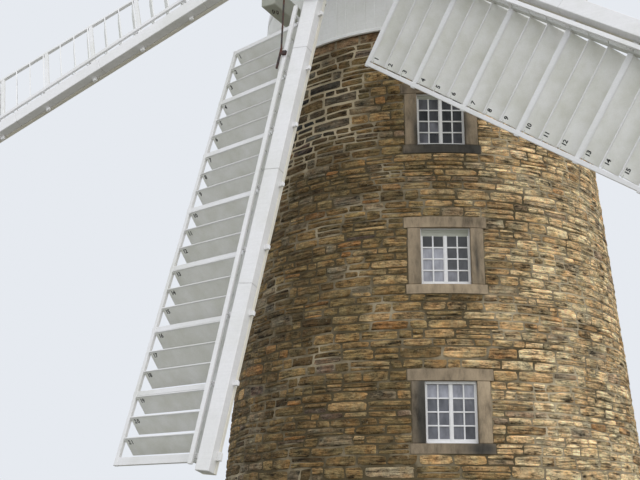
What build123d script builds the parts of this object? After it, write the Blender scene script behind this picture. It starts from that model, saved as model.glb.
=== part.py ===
from build123d import *
from math import atan2, cos, degrees, hypot, radians, sin, sqrt, tan
import os

# Six-sailed stone tower windmill. Millimetres, +Z up, origin in the middle of the tower's underside.
# The sails face -Y.

# Fits
SEAT = 0.3  # between pieces that sit on or in each other
RUNNING = 0.3  # round the windshaft in its bearings

# Tower
TOWER_HEIGHT = 7686.0
TOWER_RADIUS = 3247.0  # outside, at the ground
TOWER_BATTER = 0.085  # inward for each unit of height
WALL_FOOT = 600.0
WALL_HEAD = 450.0
WALL_SEGMENTS = 6

# Floors
GROUND_SLAB = 120.0
FLOOR_THICKNESS = 150.0
SILL_ABOVE_FLOOR = 850.0

# Windows, one column at the front and one at the back
WINDOW_AZIMUTH = 26.944  # of the front column, from -Y towards +X
WINDOW_WIDTH = 681.0
WINDOW_SILLS = (1398.0, 3531.0, 5601.0)
WINDOW_HEIGHT = 812.0
WINDOW_RECESS = 92.0
FRAME_DEPTH = 60.0
FRAME_WIDTH = 48.0
MULLION_WIDTH = 44.0
GLASS = 6.0

# Dressed stones round the openings
STONE_DEPTH = 230.0
STONE_PROUD = 12.0
LINTEL_LENGTH = 1130.0
LINTEL_HEIGHT = 156.0
JAMB_WIDTH = 175.0
SILL_LENGTH = 1098.0
SILL_HEIGHT = 137.0

# Doorway
DOOR_WIDTH = 1150.0
DOOR_HEIGHT = 2080.0
DOOR_RECESS = 180.0
DOOR_FRAME_WIDTH = 80.0
DOOR_FRAME_DEPTH = 110.0
DOOR_THICKNESS = 50.0
DOOR_INSET = 20.0  # of the leaf in its frame

# Curb and the cap's ring on it
CURB_HEIGHT = 137.0
CURB_OVERHANG = 35.0  # inside the skirt, short of the wall's face
CIRCLE_HEIGHT = 156.0
CIRCLE_WIDTH = 330.0

# Cap
SKIRT_DROP = 206.0  # down over the head of the wall
SKIRT_HEIGHT = 1075.0
SKIRT_CLEARANCE = 66.31  # from the wall's head to the skirt's outer face
SKIRT_BOARD = 25.0
RIM_PROUD = 16.0
RIM_HEIGHT = 50.0
ROOF_THICKNESS = 45.0
ROOF_LOWER_CURVE = 1450.0  # radius of the convex stretch
ROOF_TURN = 66.0  # where the convex stretch ends
ROOF_GORES = 6
NECK_BANDS = 3
ROOF_NECK = 150.0  # radius under the finial
ROOF_NECK_LEAN = 8.0
FINIAL_HEIGHT = 620.0
FINIAL_BASE = 60.0
FINIAL_WAIST = 45.0  # radius under the ball
FINIAL_BALL = 135.0
SPIKE_HEIGHT = 260.0
SPIKE_RADIUS = 40.0
HOOD_WIDTH = 1060.0
HOOD_PROUD = 55.0  # of the skirt
HOOD_HEIGHT = 1065.0
HOOD_SIDE_HEIGHT = 700.0
HOOD_BOARD = 25.0
HOOD_SHAFT_GAP = 30.0

# Fore-and-aft beams, and the beams across them
SHEER_WIDTH = 238.0
SHEER_HEIGHT = 300.0
SHEER_SPACING = 2360.0
SHEER_FRONT_REACH = 580.0  # beyond the skirt
SHEER_TAIL_REACH = 1490.0
WEATHER_BEAM_INSET = 660.0  # behind the skirt
WEATHER_BEAM_WIDTH = 320.0
WEATHER_BEAM_HEIGHT = 260.0
WEATHER_BEAM_GAP = 60.0  # from its ends to the skirt
BEARING_WIDTH = 640.0
TAIL_BEAM_Y = 1000.0
TAIL_BEAM_WIDTH = 320.0

# Fantail
STAGE_PLANK = 50.0
STAGE_GAP = 290.0  # behind the skirt
POST_SIZE = 170.0
POST_REACH = 1140.0  # behind the skirt
CROSS_RAIL_HEIGHT = 571.0  # over the sheers
BRACE_SIZE = 90.0
BRACE_DROP = 500.0  # from the axle to the top of the brace
RAIL_HEIGHT = 900.0
RAIL_SIZE = 70.0
FAN_RADIUS = 1450.0
FAN_CLEARANCE = 121.0  # from the stage's rail up to the sweep of the fan
FAN_BLADES = 8
FAN_BOARD_LENGTH = 920.0
FAN_BOARD_WIDTH = 330.0
FAN_BOARD = 18.0
FAN_BOARD_ANGLE = 48.0
FAN_ARM = 62.0
FAN_ARM_SHORT = 30.0  # of the boards' ends
FAN_BOSS_RADIUS = 150.0
FAN_BOSS_LENGTH = 220.0
FAN_AXLE_RADIUS = 40.0
FAN_AXLE_PROUD = 30.0

# Windshaft
SHAFT_TILT = 11.887
HUB_REACH = 745.0  # in front of the skirt
HUB_RISE = 484.0  # over the foot of the roof
SHAFT_RADIUS = 180.0
NECK_RADIUS = 210.0
NECK_LENGTH = 460.0
TAIL_RADIUS = 75.0
TAIL_LENGTH = 420.0
TAIL_PROUD = 60.0  # behind its beam

# Iron cross that carries the sails
SAILS = 6
SAIL_LEAN = 5.783  # of the hanging sail, from straight down
BOSS_RADIUS = 400.0
BOSS_FRONT = 150.0
BOSS_BACK = 290.0
ARM_END = 1480.0
ARM_THICKNESS = 60.0
ARM_RIB = 90.0
ARM_FOOT_LEAD = 150.0  # the arm's edge ahead of its axis, at the boss
ARM_FLANGE = 26.0  # on the whip's leading side
ARM_FLANGE_DEPTH = 130.0
RIB_TRAIL = 60.0
RIB_FOOT_LEAD = 20.0
RIB_TIP_LEAD = 5.0
RIB_LAP = 10.0

# Sails, along the whip from the shaft's axis
BAYS = 7
BAY = 915.0
HEEL_BAR = 1696.0
HEEL_WEATHER = 16.6
TIP_WEATHER = 10.7
BAR_SET_BACK = 105.0  # of the bars' plane behind the axis
BAR_RAKE = 2.8  # in degrees: the bars' outer ends lie farther from the shaft
WHIP_START = 430.0
WHIP_TIP = 8300.0
BAR_WIDTH = 66.0
BAR_DEPTH = 40.0
TIP_BAR_WIDTH = 105.0
LEAD_END = 135.0  # of the bars, ahead of the axis
TRAIL_END = 1700.0  # of the bars, behind it
WHIP_TRAIL = 148.0
WHIP_LEAD = 88.0
WHIP_FRONT = 46.0
WHIP_BACK = 188.0
WHIP_TRAIL_TAPER = 40.0
WHIP_FRONT_TAPER = 16.0
WHIP_BACK_TAPER = 26.0
UPLONG_TRAIL = 272.0
UPLONG_LEAD = 160.0
UPLONG_DEPTH = 84.0
UPLONG_PROUD = 20.0  # beyond the tip bar
SHUTTER_BAR_START = 1560.0
SHUTTER_BAR_TIP = 8225.0
SHUTTER_BAR_TRAIL = 293.0
SHUTTER_BAR_WIDTH = 60.0
SHUTTER_BAR_DEPTH = 40.0
SHUTTER_BAR_FRONT = 42.0
SHUTTER_BAR_LEAN = 41.0  # ahead, from its first bar to its last
SHUTTER_BAR_DROP = 34.0
GUIDE_SIZE = 32.0
GUIDE_INSET = 14.0
HEM_WIDTH = 60.0
HEM_DEPTH = 50.0

# Shutters, open as they hang in the photograph
SHUTTERS_PER_BAY = 3
SHUTTER_PITCH = 281.0
FIRST_PIVOT = 72.0
SHUTTER_LEAD = 43.0  # ahead of its pivot
SHUTTER_TRAIL = 230.0  # behind it
SHUTTER_THICKNESS = 14.0
SHUTTER_OPEN = 52.0
SHUTTER_GAP = 16.0
PIVOT_RADIUS = 8.0

# Striking gear
SPIDER_FRONT = 330.0
SPIDER_ALONG = 430.0
SPIDER_ASIDE = 470.0
SPIDER_ARM = 46.0
SPIDER_BOSS = 110.0
SPIDER_BOSS_LENGTH = 100.0
STRIKING_ROD = 38.0
ROD_PROUD = 140.0  # in front of the spider
LINK_RADIUS = 13.0
LINK_EYE_RADIUS = 26.0
LINK_EYE_HEIGHT = 52.0
CRANK_START = 2300.0
CRANK_END = 2650.0
CRANK_ASIDE = 308.0
CRANK_WIDTH = 26.0
CRANK_DEPTH = 22.0
CRANK_GAP = 14.0
LEVER_START = 60.0  # from the crank's inner end
LEVER_WIDTH = 60.0
LEVER_LAP = 10.0


# Places worked out from the sizes above

def outer_radius(height):
    return TOWER_RADIUS - TOWER_BATTER * height


def inner_radius(height):
    head = TOWER_RADIUS - TOWER_BATTER * TOWER_HEIGHT - WALL_HEAD
    foot = TOWER_RADIUS - WALL_FOOT
    return foot + (head - foot) * height / TOWER_HEIGHT


SKIRT_RADIUS = outer_radius(TOWER_HEIGHT) + SKIRT_CLEARANCE
SKIRT_BOTTOM = TOWER_HEIGHT - SKIRT_DROP
SKIRT_TOP = SKIRT_BOTTOM + SKIRT_HEIGHT
HUB_Y = -SKIRT_RADIUS - HUB_REACH
HUB_Z = SKIRT_TOP + HUB_RISE
HOOD_FRONT = SKIRT_RADIUS + HOOD_PROUD
HOOD_TOP = SKIRT_TOP + HOOD_HEIGHT
SHEER_FRONT = SKIRT_RADIUS + SHEER_FRONT_REACH
SHEER_TAIL = SKIRT_RADIUS + SHEER_TAIL_REACH
WEATHER_BEAM_Y = WEATHER_BEAM_INSET - SKIRT_RADIUS
STAGE_FRONT = SKIRT_RADIUS + STAGE_GAP
POST_Y = SKIRT_RADIUS + POST_REACH
CURB_TOP = TOWER_HEIGHT + CURB_HEIGHT
CIRCLE_BOTTOM = CURB_TOP + SEAT
SHEER_BOTTOM = CIRCLE_BOTTOM + CIRCLE_HEIGHT
SHEER_TOP = SHEER_BOTTOM + SHEER_HEIGHT
DECK_TOP = SHEER_TOP + STAGE_PLANK
FAN_HEIGHT = DECK_TOP + RAIL_HEIGHT + FAN_CLEARANCE + FAN_RADIUS
TILT = radians(SHAFT_TILT)
BACK_AZIMUTH = WINDOW_AZIMUTH + 180.0
SIDES = ((WINDOW_AZIMUTH, WINDOW_SILLS), (BACK_AZIMUTH, WINDOW_SILLS[1:]))
DOOR_TOP = GROUND_SLAB + DOOR_HEIGHT


def shaft_height(y):
    """Height of the windshaft's axis over a place along Y."""
    return HUB_Z - (y - HUB_Y) * tan(TILT)


def save(name, pieces):
    solids = [solid for piece in pieces for solid in piece.solids()]
    export_step(solids[0] if len(solids) == 1 else Compound(solids), f"parts/{name}.step")


def box(x, y, z):
    """A box from its low and high limits along each axis."""
    size = [high - low for low, high in (x, y, z)]
    centre = [(high + low) / 2 for low, high in (x, y, z)]
    return Location(centre) * Box(*size)


def ring(outer, inner, bottom, top):
    height = top - bottom
    wall = Cylinder(outer, height) - Cylinder(inner, 2 * height)
    return Location((0, 0, (bottom + top) / 2)) * wall


def cone(radius, bottom, top, extra=0.0):
    """A solid that tapers like the tower: radius is a function of height."""
    low, high = radius(bottom) + extra, radius(top) + extra
    return Location((0, 0, (bottom + top) / 2)) * Cone(low, high, top - bottom)


def straight(start, end, section):
    """A straight piece of one section between two points."""
    along = Vector(*end) - Vector(*start)
    return extrude(Plane(origin=start, z_dir=along) * section, along.length)


def wall_place(azimuth, height):
    """On the tower's face: x runs along the wall, y runs into it, z runs up."""
    turned = Location((0, 0, 0), (0, 0, azimuth))
    return turned * Location((0, -outer_radius(height), height))


# Tower

def opening(azimuth, width, bottom, top):
    """Cuts an opening straight through the wall."""
    middle = (bottom + top) / 2
    cut = box((-width / 2, width / 2), (-WALL_FOOT, 2 * WALL_FOOT), (bottom - middle, top - middle))
    return wall_place(azimuth, middle) * cut


def stone_block(azimuth, left, right, bottom, top, spare=0.0):
    """The space of one dressed stone, or its pocket in the wall with some spare."""
    middle = (bottom + top) / 2
    deep = STONE_DEPTH + spare
    cut = box((left - spare, right + spare), (-deep, deep), (bottom - middle - spare, top - middle + spare))
    return wall_place(azimuth, middle) * cut


def stone_spans(width, bottom, top, has_sill):
    """Left, right, bottom and top of the lintel, the two jambs and the sill of one opening."""
    half = width / 2
    spare = max(LINTEL_LENGTH - WINDOW_WIDTH, 0) / 2
    lintel = [(-half - spare, half + spare, top, top + LINTEL_HEIGHT)]
    jambs = [(-half - JAMB_WIDTH, -half, bottom, top - SEAT), (half, half + JAMB_WIDTH, bottom, top - SEAT)]
    sill = [(-SILL_LENGTH / 2, SILL_LENGTH / 2, bottom - SILL_HEIGHT, bottom - SEAT)]
    return lintel, jambs, sill if has_sill else []


def openings():
    """Azimuth, width, bottom, top and whether there is a sill, for each opening in the tower."""
    found = [(azimuth, WINDOW_WIDTH, sill, sill + WINDOW_HEIGHT, True)
             for azimuth, sills in SIDES for sill in sills]
    return found + [(BACK_AZIMUTH, DOOR_WIDTH, GROUND_SLAB, DOOR_TOP, False)]


def stones(kind):
    """All lintels (0), jambs (1) or sills (2), faced to the tower's curve."""
    made = []
    for azimuth, width, bottom, top, has_sill in openings():
        for left, right, low, high in stone_spans(width, bottom, top, has_sill)[kind]:
            face = cone(outer_radius, low - 10, high + 10, STONE_PROUD)
            made.append(stone_block(azimuth, left, right, low, high) & face)
    return made


def tower_walls():
    """The round wall in equal segments, the first one round the front windows."""
    wall = cone(outer_radius, 0, TOWER_HEIGHT) - cone(inner_radius, -0.001, TOWER_HEIGHT + 0.001)
    span = 360.0 / WALL_SEGMENTS
    reach = 2 * TOWER_RADIUS
    made = []
    for k in range(WALL_SEGMENTS):
        middle = WINDOW_AZIMUTH + k * span
        wedge = extrude(make_face(Polyline(
            (0, 0), (-reach * tan(radians(span / 2)), -reach), (reach * tan(radians(span / 2)), -reach),
            close=True)), TOWER_HEIGHT)
        piece = wall & (Location((0, 0, 0), (0, 0, middle)) * wedge)
        for azimuth, width, bottom, top, has_sill in openings():
            if abs(azimuth - middle) > span / 2:
                continue
            piece -= opening(azimuth, width, bottom, top)
            for group in stone_spans(width, bottom, top, has_sill):
                for left, right, low, high in group:
                    piece -= stone_block(azimuth, left, right, low, high, SEAT)
        made.append(piece)
    return made


def floor_disc(bottom, top):
    return cone(inner_radius, bottom, top, -SEAT)


def floor_tops():
    return [sill - SILL_ABOVE_FLOOR for sill in WINDOW_SILLS[1:]]


def window_frame(height):
    """One casement frame with its middle post, at the window's own place."""
    x = WINDOW_WIDTH / 2 - SEAT
    z = height / 2 - SEAT
    outer = box((-x, x), (0, FRAME_DEPTH), (-z, z))
    inside, sight = x - FRAME_WIDTH, z - FRAME_WIDTH
    hole = box((-inside, inside), (-10, FRAME_DEPTH + 10), (-sight, sight))
    post = box((-MULLION_WIDTH / 2, MULLION_WIDTH / 2), (0, FRAME_DEPTH / 2),
               (-z + FRAME_WIDTH / 2, z - FRAME_WIDTH / 2))
    return outer - hole + post


def window_pane(height):
    x = WINDOW_WIDTH / 2 - FRAME_WIDTH - 2 * SEAT
    z = height / 2 - FRAME_WIDTH - 2 * SEAT
    front = FRAME_DEPTH / 2 + SEAT
    return box((-x, x), (front, front + GLASS), (-z, z))


def at_windows(piece):
    into = Location((0, WINDOW_RECESS, 0))
    return [wall_place(azimuth, sill + WINDOW_HEIGHT / 2) * into * piece
            for azimuth, sills in SIDES for sill in sills]


def door_pieces():
    """The door's frame and its leaf, in the doorway."""
    x = DOOR_WIDTH / 2 - SEAT
    z = DOOR_HEIGHT / 2
    inner = x - DOOR_FRAME_WIDTH
    frame = box((-x, x), (0, DOOR_FRAME_DEPTH), (-z + SEAT, z - SEAT))
    frame -= box((-inner, inner), (-10, DOOR_FRAME_DEPTH + 10), (-z - 10, z - DOOR_FRAME_WIDTH))
    leaf = box((-inner + SEAT, inner - SEAT), (DOOR_INSET, DOOR_INSET + DOOR_THICKNESS),
               (-z + SEAT, z - DOOR_FRAME_WIDTH - SEAT))
    place = wall_place(BACK_AZIMUTH, GROUND_SLAB + z) * Location((0, DOOR_RECESS, 0))
    return place * frame, place * leaf


# Cap

def roof_profile(inset):
    """Half of the ogee section: a convex stretch, then a concave one up to the neck."""
    turn, lean = radians(ROOF_TURN), radians(ROOF_NECK_LEAN)
    lower = ROOF_LOWER_CURVE
    centre = SKIRT_RADIUS - lower
    upper = (centre + lower * cos(turn) - ROOF_NECK) / (cos(lean) - cos(turn))
    far = centre + (lower + upper) * cos(turn)
    high = SKIRT_TOP + (lower + upper) * sin(turn)

    def on_lower(angle):
        reach = lower - inset
        return centre + reach * cos(angle), SKIRT_TOP + reach * sin(angle)

    def on_upper(angle):
        reach = upper + inset
        return far - reach * cos(angle), high - reach * sin(angle)

    return on_lower, on_upper, turn, lean


def roof_solid(inset):
    """The space under the ogee surface."""
    on_lower, on_upper, turn, lean = roof_profile(inset)
    foot, shoulder, neck = on_lower(0), on_lower(turn), on_upper(lean)
    outline = [
        ThreePointArc(foot, on_lower(turn / 2), shoulder),
        ThreePointArc(shoulder, on_upper((turn + lean) / 2), neck),
        Line(neck, (0, neck[1])),
        Line((0, neck[1]), (0, SKIRT_TOP)),
        Line((0, SKIRT_TOP), foot),
    ]
    section = Plane.XZ * make_face(outline)
    return revolve(section, Axis.Z)


def roof_top():
    on_lower, on_upper, turn, lean = roof_profile(0)
    return on_upper(lean)[1]


def hood_block(inset, front, back):
    """The hood round the windshaft: upright sides under a round top, and no floor in the space inside."""
    half = HOOD_WIDTH / 2 - inset
    foot = SKIRT_TOP - inset
    side = SKIRT_TOP + HOOD_SIDE_HEIGHT
    face = make_face([
        Line((-half, foot), (half, foot)),
        Line((half, foot), (half, side)),
        ThreePointArc((half, side), (0, HOOD_TOP - inset), (-half, side)),
        Line((-half, side), (-half, foot)),
    ])
    upright = Plane((0, -front, 0), x_dir=(1, 0, 0), z_dir=(0, -1, 0))
    return extrude(upright * face, -(front - back))


def shaft_frame():
    """At the hub: z along the windshaft to the front, x across."""
    return Plane((0, HUB_Y, HUB_Z), x_dir=(1, 0, 0), z_dir=(0, -cos(TILT), sin(TILT))).location


def along_shaft(radius, low, high):
    return shaft_frame() * Location((0, 0, (low + high) / 2)) * Cylinder(radius, high - low)


def roof_gores(shell, levels):
    """A shell of the roof cut at each level, and each band into equal gores."""
    reach = 2 * SKIRT_RADIUS
    span = radians(360.0 / ROOF_GORES)
    wedge = make_face(Polyline((0, 0), (reach, 0), (reach * cos(span), reach * sin(span)), close=True))
    made = []
    for low, high in zip(levels, levels[1:]):
        for k in range(ROOF_GORES):
            place = Location((0, 0, low), (0, 0, degrees(span) * (k + 0.5) - 90))
            made.append(shell & (place * extrude(wedge, high - low)))
    return made


def cap_roof(outer):
    """The convex stretch, with the opening into the hood."""
    on_lower, on_upper, turn, lean = roof_profile(0)
    shell = outer - roof_solid(ROOF_THICKNESS) - hood_block(HOOD_BOARD, HOOD_FRONT, 0)
    return roof_gores(shell, (SKIRT_TOP, on_lower(turn)[1]))


def cap_neck(outer):
    """The concave stretch from the roof's shoulder up to the finial."""
    on_lower, on_upper, turn, lean = roof_profile(0)
    angles = [turn + (lean - turn) * k / NECK_BANDS for k in range(NECK_BANDS + 1)]
    return roof_gores(outer - roof_solid(ROOF_THICKNESS), [on_upper(angle)[1] for angle in angles])


def cap_hood(outer):
    hood = hood_block(0, HOOD_FRONT, 0) - hood_block(HOOD_BOARD, HOOD_FRONT - HOOD_BOARD, -10) - outer
    hood -= along_shaft(SHAFT_RADIUS + HOOD_SHAFT_GAP, HUB_Y, 0)
    return hood.solids().sort_by(SortBy.VOLUME)[-1]


def cap_finial():
    """A turned post with a ball and a spike, on the roof's neck."""
    foot = roof_top() + SEAT
    neck = foot + FINIAL_HEIGHT - 2 * FINIAL_BALL
    base = Location((0, 0, foot + FINIAL_BASE / 2)) * Cylinder(1.2 * ROOF_NECK, FINIAL_BASE)
    post = Location((0, 0, (foot + neck) / 2)) * Cone(ROOF_NECK, FINIAL_WAIST, neck - foot)
    ball = Location((0, 0, neck + 0.8 * FINIAL_BALL)) * Sphere(FINIAL_BALL)
    spike_place = Location((0, 0, foot + FINIAL_HEIGHT + SPIKE_HEIGHT / 3))
    spike = spike_place * Cone(SPIKE_RADIUS, SPIKE_RADIUS / 6, SPIKE_HEIGHT)
    return base + post + ball + spike


def sheer_pair():
    half = SHEER_WIDTH / 2
    made = []
    for side in (-1, 1):
        middle = side * SHEER_SPACING / 2
        made.append(box((middle - half, middle + half), (-SHEER_FRONT, SHEER_TAIL),
                        (SHEER_BOTTOM, SHEER_TOP)))
    return made


def sheer_spaces():
    half = SHEER_WIDTH / 2 + SEAT
    return [box((side * SHEER_SPACING / 2 - half, side * SHEER_SPACING / 2 + half), (-SHEER_TAIL, SHEER_TAIL),
                (SHEER_BOTTOM - SEAT, SHEER_TOP + SEAT)) for side in (-1, 1)]


def cap_skirt():
    skirt = ring(SKIRT_RADIUS, SKIRT_RADIUS - SKIRT_BOARD, SKIRT_BOTTOM, SKIRT_TOP)
    skirt += ring(SKIRT_RADIUS + RIM_PROUD, SKIRT_RADIUS - SKIRT_BOARD,
                  SKIRT_BOTTOM, SKIRT_BOTTOM + RIM_HEIGHT)
    for space in sheer_spaces():
        skirt -= space
    return skirt


def cap_circle():
    outer = SKIRT_RADIUS - SKIRT_BOARD - SEAT
    return ring(outer, outer - CIRCLE_WIDTH, CIRCLE_BOTTOM, SHEER_BOTTOM)


def weather_beam():
    """The beam under the windshaft's neck, with the open bearing on it."""
    low, high = WEATHER_BEAM_Y - WEATHER_BEAM_WIDTH / 2, WEATHER_BEAM_Y + WEATHER_BEAM_WIDTH / 2
    inside = SKIRT_RADIUS - SKIRT_BOARD
    half = sqrt(inside ** 2 - low ** 2) - WEATHER_BEAM_GAP
    beam = box((-half, half), (low, high), (SHEER_TOP, SHEER_TOP + WEATHER_BEAM_HEIGHT))
    block = box((-BEARING_WIDTH / 2, BEARING_WIDTH / 2), (low, high), (SHEER_TOP, shaft_height(low)))
    return beam + block - along_shaft(NECK_RADIUS + RUNNING, HUB_Y, 0)


def tail_beam():
    """The beam between the sheers that holds the windshaft's tail."""
    half = (SHEER_SPACING - SHEER_WIDTH) / 2 - SEAT
    low, high = TAIL_BEAM_Y - TAIL_BEAM_WIDTH / 2, TAIL_BEAM_Y + TAIL_BEAM_WIDTH / 2
    beam = box((-half, half), (low, high), (SHEER_BOTTOM, SHEER_TOP))
    return beam - along_shaft(TAIL_RADIUS + RUNNING, 2 * HUB_Y, 0)


# Fantail

def fan_stage():
    """The deck behind the cap, with its posts and two rails."""
    half = SHEER_SPACING / 2 + SHEER_WIDTH / 2
    notch = POST_SIZE / 2 + SEAT
    deck = box((-half, half), (STAGE_FRONT, SHEER_TAIL), (SHEER_TOP, DECK_TOP))
    for x in (-SHEER_SPACING / 2, SHEER_SPACING / 2):
        deck -= box((x - notch, x + notch), (POST_Y - notch, POST_Y + notch),
                    (SHEER_TOP - SEAT, DECK_TOP + SEAT))
    size = RAIL_SIZE
    top = DECK_TOP + RAIL_HEIGHT
    posts = [box((x, x + size), (SHEER_TAIL - size, SHEER_TAIL), (DECK_TOP, top))
             for x in (-half, -size / 2, half - size)]
    inner = SHEER_TAIL - size - SEAT
    rails = [box((-half, half), (inner - size, inner), (height, height + size))
             for height in (top - size, top - RAIL_HEIGHT / 2)]
    return [deck] + posts + rails


def fan_posts():
    """Two braced posts on the sheers, and the rail across them."""
    half = POST_SIZE / 2
    top = FAN_HEIGHT + FAN_BOSS_RADIUS + FAN_CLEARANCE
    outer = SHEER_SPACING / 2
    low = SHEER_TOP + CROSS_RAIL_HEIGHT
    made = [box((-outer + half + SEAT, outer - half - SEAT), (POST_Y - half, POST_Y + half),
                (low, low + POST_SIZE))]
    axle = fan_place(0) * Cylinder(FAN_AXLE_RADIUS + SEAT, 3 * outer)
    for x in (-outer, outer):
        post = box((x - half, x + half), (POST_Y - half, POST_Y + half), (SHEER_TOP, top))
        foot = (x, STAGE_FRONT + BRACE_SIZE, DECK_TOP + BRACE_SIZE / 2)
        post += straight(foot, (x, POST_Y, FAN_HEIGHT - BRACE_DROP), Rectangle(BRACE_SIZE, BRACE_SIZE))
        made.append(post - axle)
    return made


def fan_place(turn):
    """At the fan's hub: x out along one arm, z along the axle."""
    return Location((0, POST_Y, FAN_HEIGHT), (0, 90, 0)) * Location((0, 0, 0), (0, 0, turn))


def fan_turns():
    return [(k + 0.5) * 360.0 / FAN_BLADES for k in range(FAN_BLADES)]


def fan_wheel():
    length = SHEER_SPACING + POST_SIZE + 2 * FAN_AXLE_PROUD
    wheel = fan_place(0) * Cylinder(FAN_AXLE_RADIUS, length)
    wheel += fan_place(0) * Cylinder(FAN_BOSS_RADIUS, FAN_BOSS_LENGTH)
    reach = FAN_RADIUS - FAN_ARM_SHORT
    root = 0.7 * FAN_BOSS_RADIUS
    for turn in fan_turns():
        arm = box((root, reach), (-FAN_ARM / 2, FAN_ARM / 2), (-FAN_ARM / 2, FAN_ARM / 2))
        wheel += fan_place(turn) * arm
    return wheel


def fan_blades():
    """Boards laid on the slanted front of each arm."""
    made = []
    for turn in fan_turns():
        board = box((FAN_RADIUS - FAN_BOARD_LENGTH, FAN_RADIUS),
                    (-FAN_BOARD_WIDTH / 2, FAN_BOARD_WIDTH / 2), (0, FAN_BOARD))
        lift = hypot(FAN_ARM / 2, FAN_ARM / 2) * cos(radians(45 - FAN_BOARD_ANGLE)) + SEAT
        tilted = Location((0, 0, 0), (FAN_BOARD_ANGLE, 0, 0)) * Location((0, 0, lift)) * board
        made.append(fan_place(turn) * tilted)
    return made


# Windshaft, cross and striking gear

def windshaft():
    length_back = (TAIL_BEAM_Y + TAIL_BEAM_WIDTH / 2 + TAIL_PROUD - HUB_Y) / cos(TILT)
    neck = (WEATHER_BEAM_Y - HUB_Y) / cos(TILT)
    shaft = along_shaft(SHAFT_RADIUS, -length_back + TAIL_LENGTH, -BOSS_BACK - SEAT)
    shaft += along_shaft(TAIL_RADIUS, -length_back, -length_back + TAIL_LENGTH + TAIL_PROUD)
    shaft += along_shaft(NECK_RADIUS, -neck - NECK_LENGTH / 2, -neck + NECK_LENGTH / 2)
    return shaft


def sail_place(k):
    """On the windshaft at sail k: x out along the whip, y to its leading side, z to the front."""
    angle = radians(-90.0 - SAIL_LEAN + k * 360.0 / SAILS)
    out = Vector(cos(angle), sin(angle) * sin(TILT), sin(angle) * cos(TILT))
    return Plane((0, HUB_Y, HUB_Z), x_dir=out, z_dir=(0, -cos(TILT), sin(TILT))).location


def at_sails(piece):
    return [sail_place(k) * piece for k in range(SAILS)]


def weather(along):
    """Slope of the sail's face to the plane it turns in, in radians."""
    part = (along - HEEL_BAR) / (BAYS * BAY)
    return radians(HEEL_WEATHER + (TIP_WEATHER - HEEL_WEATHER) * part)


def on_bars(along, ahead, front):
    """A point in the bars' plane, which the weather turns: ahead is to the leading side."""
    slope = weather(along)
    rise = ahead * sin(slope) + front * cos(slope)
    return Vector(along, ahead * cos(slope) - front * sin(slope), rise - BAR_SET_BACK)


def lofted(place, *sections):
    """A timber through sections. Each is: along, low and high ahead, low and high front."""
    wires = []
    for along, low, high, back, front in sections:
        corners = ((low, back), (high, back), (high, front), (low, front))
        wires.append(Wire.make_polygon([place(along, *corner) for corner in corners], close=True))
    return Solid.make_loft(wires, True)


def squared(*sections):
    """A timber square to the shaft, as the whips are."""
    return lofted(Vector, *sections)


def hem():
    """The long timber across the bars' outer ends, which follows their twist."""
    rake = radians(BAR_RAKE)
    low, high = -TRAIL_END * cos(rake), (HEM_WIDTH - TRAIL_END) * cos(rake)
    shift = -(low + high) / 2 * tan(rake)
    stations = [along for along, width in bars()]
    stations[0] -= bars()[0][1] / 2
    stations[-1] += bars()[-1][1] / 2
    return lofted(on_bars, *[(along + shift, low, high, -HEM_DEPTH / 2, HEM_DEPTH / 2) for along in stations])


def uplong():
    """The straight timber beside the whip, which holds the shutters' inner pivots."""
    first, last = bars()[0], bars()[-1]
    sections = []
    for along in (first[0] - first[1] / 2, last[0] + last[1] / 2 + UPLONG_PROUD):
        slope = weather(along)
        low = -UPLONG_TRAIL * cos(radians(BAR_RAKE)) * cos(slope)
        middle = -(UPLONG_TRAIL + UPLONG_LEAD) / 2 * sin(slope) - BAR_SET_BACK
        sections.append((along, low, -UPLONG_LEAD, middle - UPLONG_DEPTH / 2, middle + UPLONG_DEPTH / 2))
    return squared(*sections)


def at_bar(along, piece):
    """From a bar's own frame, y along it, to its place behind the whip's axis."""
    turned = Location((along, 0, -BAR_SET_BACK), (degrees(weather(along)), 0, 0))
    return turned * Location((0, 0, 0), (0, 0, BAR_RAKE)) * piece


def straight_bar(along, width, spare=0.0):
    """One cross bar, or its mortise with some spare."""
    bar = box((-width / 2 - spare, width / 2 + spare), (HEM_WIDTH / 2 - TRAIL_END, LEAD_END),
              (-BAR_DEPTH / 2 - spare, BAR_DEPTH / 2 + spare))
    return at_bar(along, bar)


def bars():
    """Place and width of each bar."""
    return [(HEEL_BAR + i * BAY, TIP_BAR_WIDTH if i == BAYS else BAR_WIDTH) for i in range(BAYS + 1)]


def sail_cross():
    """The boss on the windshaft's nose and one flanged arm in front of each whip."""
    cross = along_shaft(BOSS_RADIUS, -BOSS_BACK, BOSS_FRONT)
    back = WHIP_FRONT + SEAT
    front = back + ARM_THICKNESS
    root = 0.7 * BOSS_RADIUS
    side = WHIP_LEAD + SEAT
    lead = side + ARM_FLANGE
    arm = squared((root, -WHIP_TRAIL, ARM_FOOT_LEAD, back, front),
                  (ARM_END, -WHIP_TRAIL, lead, back, front))
    arm += squared(*[(along, side, lead, front - ARM_FLANGE_DEPTH, front) for along in (root, ARM_END)])
    rib = squared((root, -RIB_TRAIL, RIB_FOOT_LEAD, front - RIB_LAP, front + ARM_RIB),
                  (ARM_END, -RIB_TRAIL, RIB_TIP_LEAD, front - RIB_LAP, front + RIB_LAP))
    for place in at_sails(arm + rib):
        cross += place
    return cross


def whip():
    """A deep timber square to the shaft, thinner towards its tip, with a mortise for every bar."""
    sections = [(WHIP_START, -WHIP_TRAIL, WHIP_LEAD, -WHIP_BACK, WHIP_FRONT),
                (WHIP_TIP, WHIP_TRAIL_TAPER - WHIP_TRAIL, WHIP_LEAD, WHIP_BACK_TAPER - WHIP_BACK,
                 WHIP_FRONT - WHIP_FRONT_TAPER)]
    beam = squared(*sections)
    for along, width in bars():
        beam -= straight_bar(along, width, SEAT)
    return beam


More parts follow.
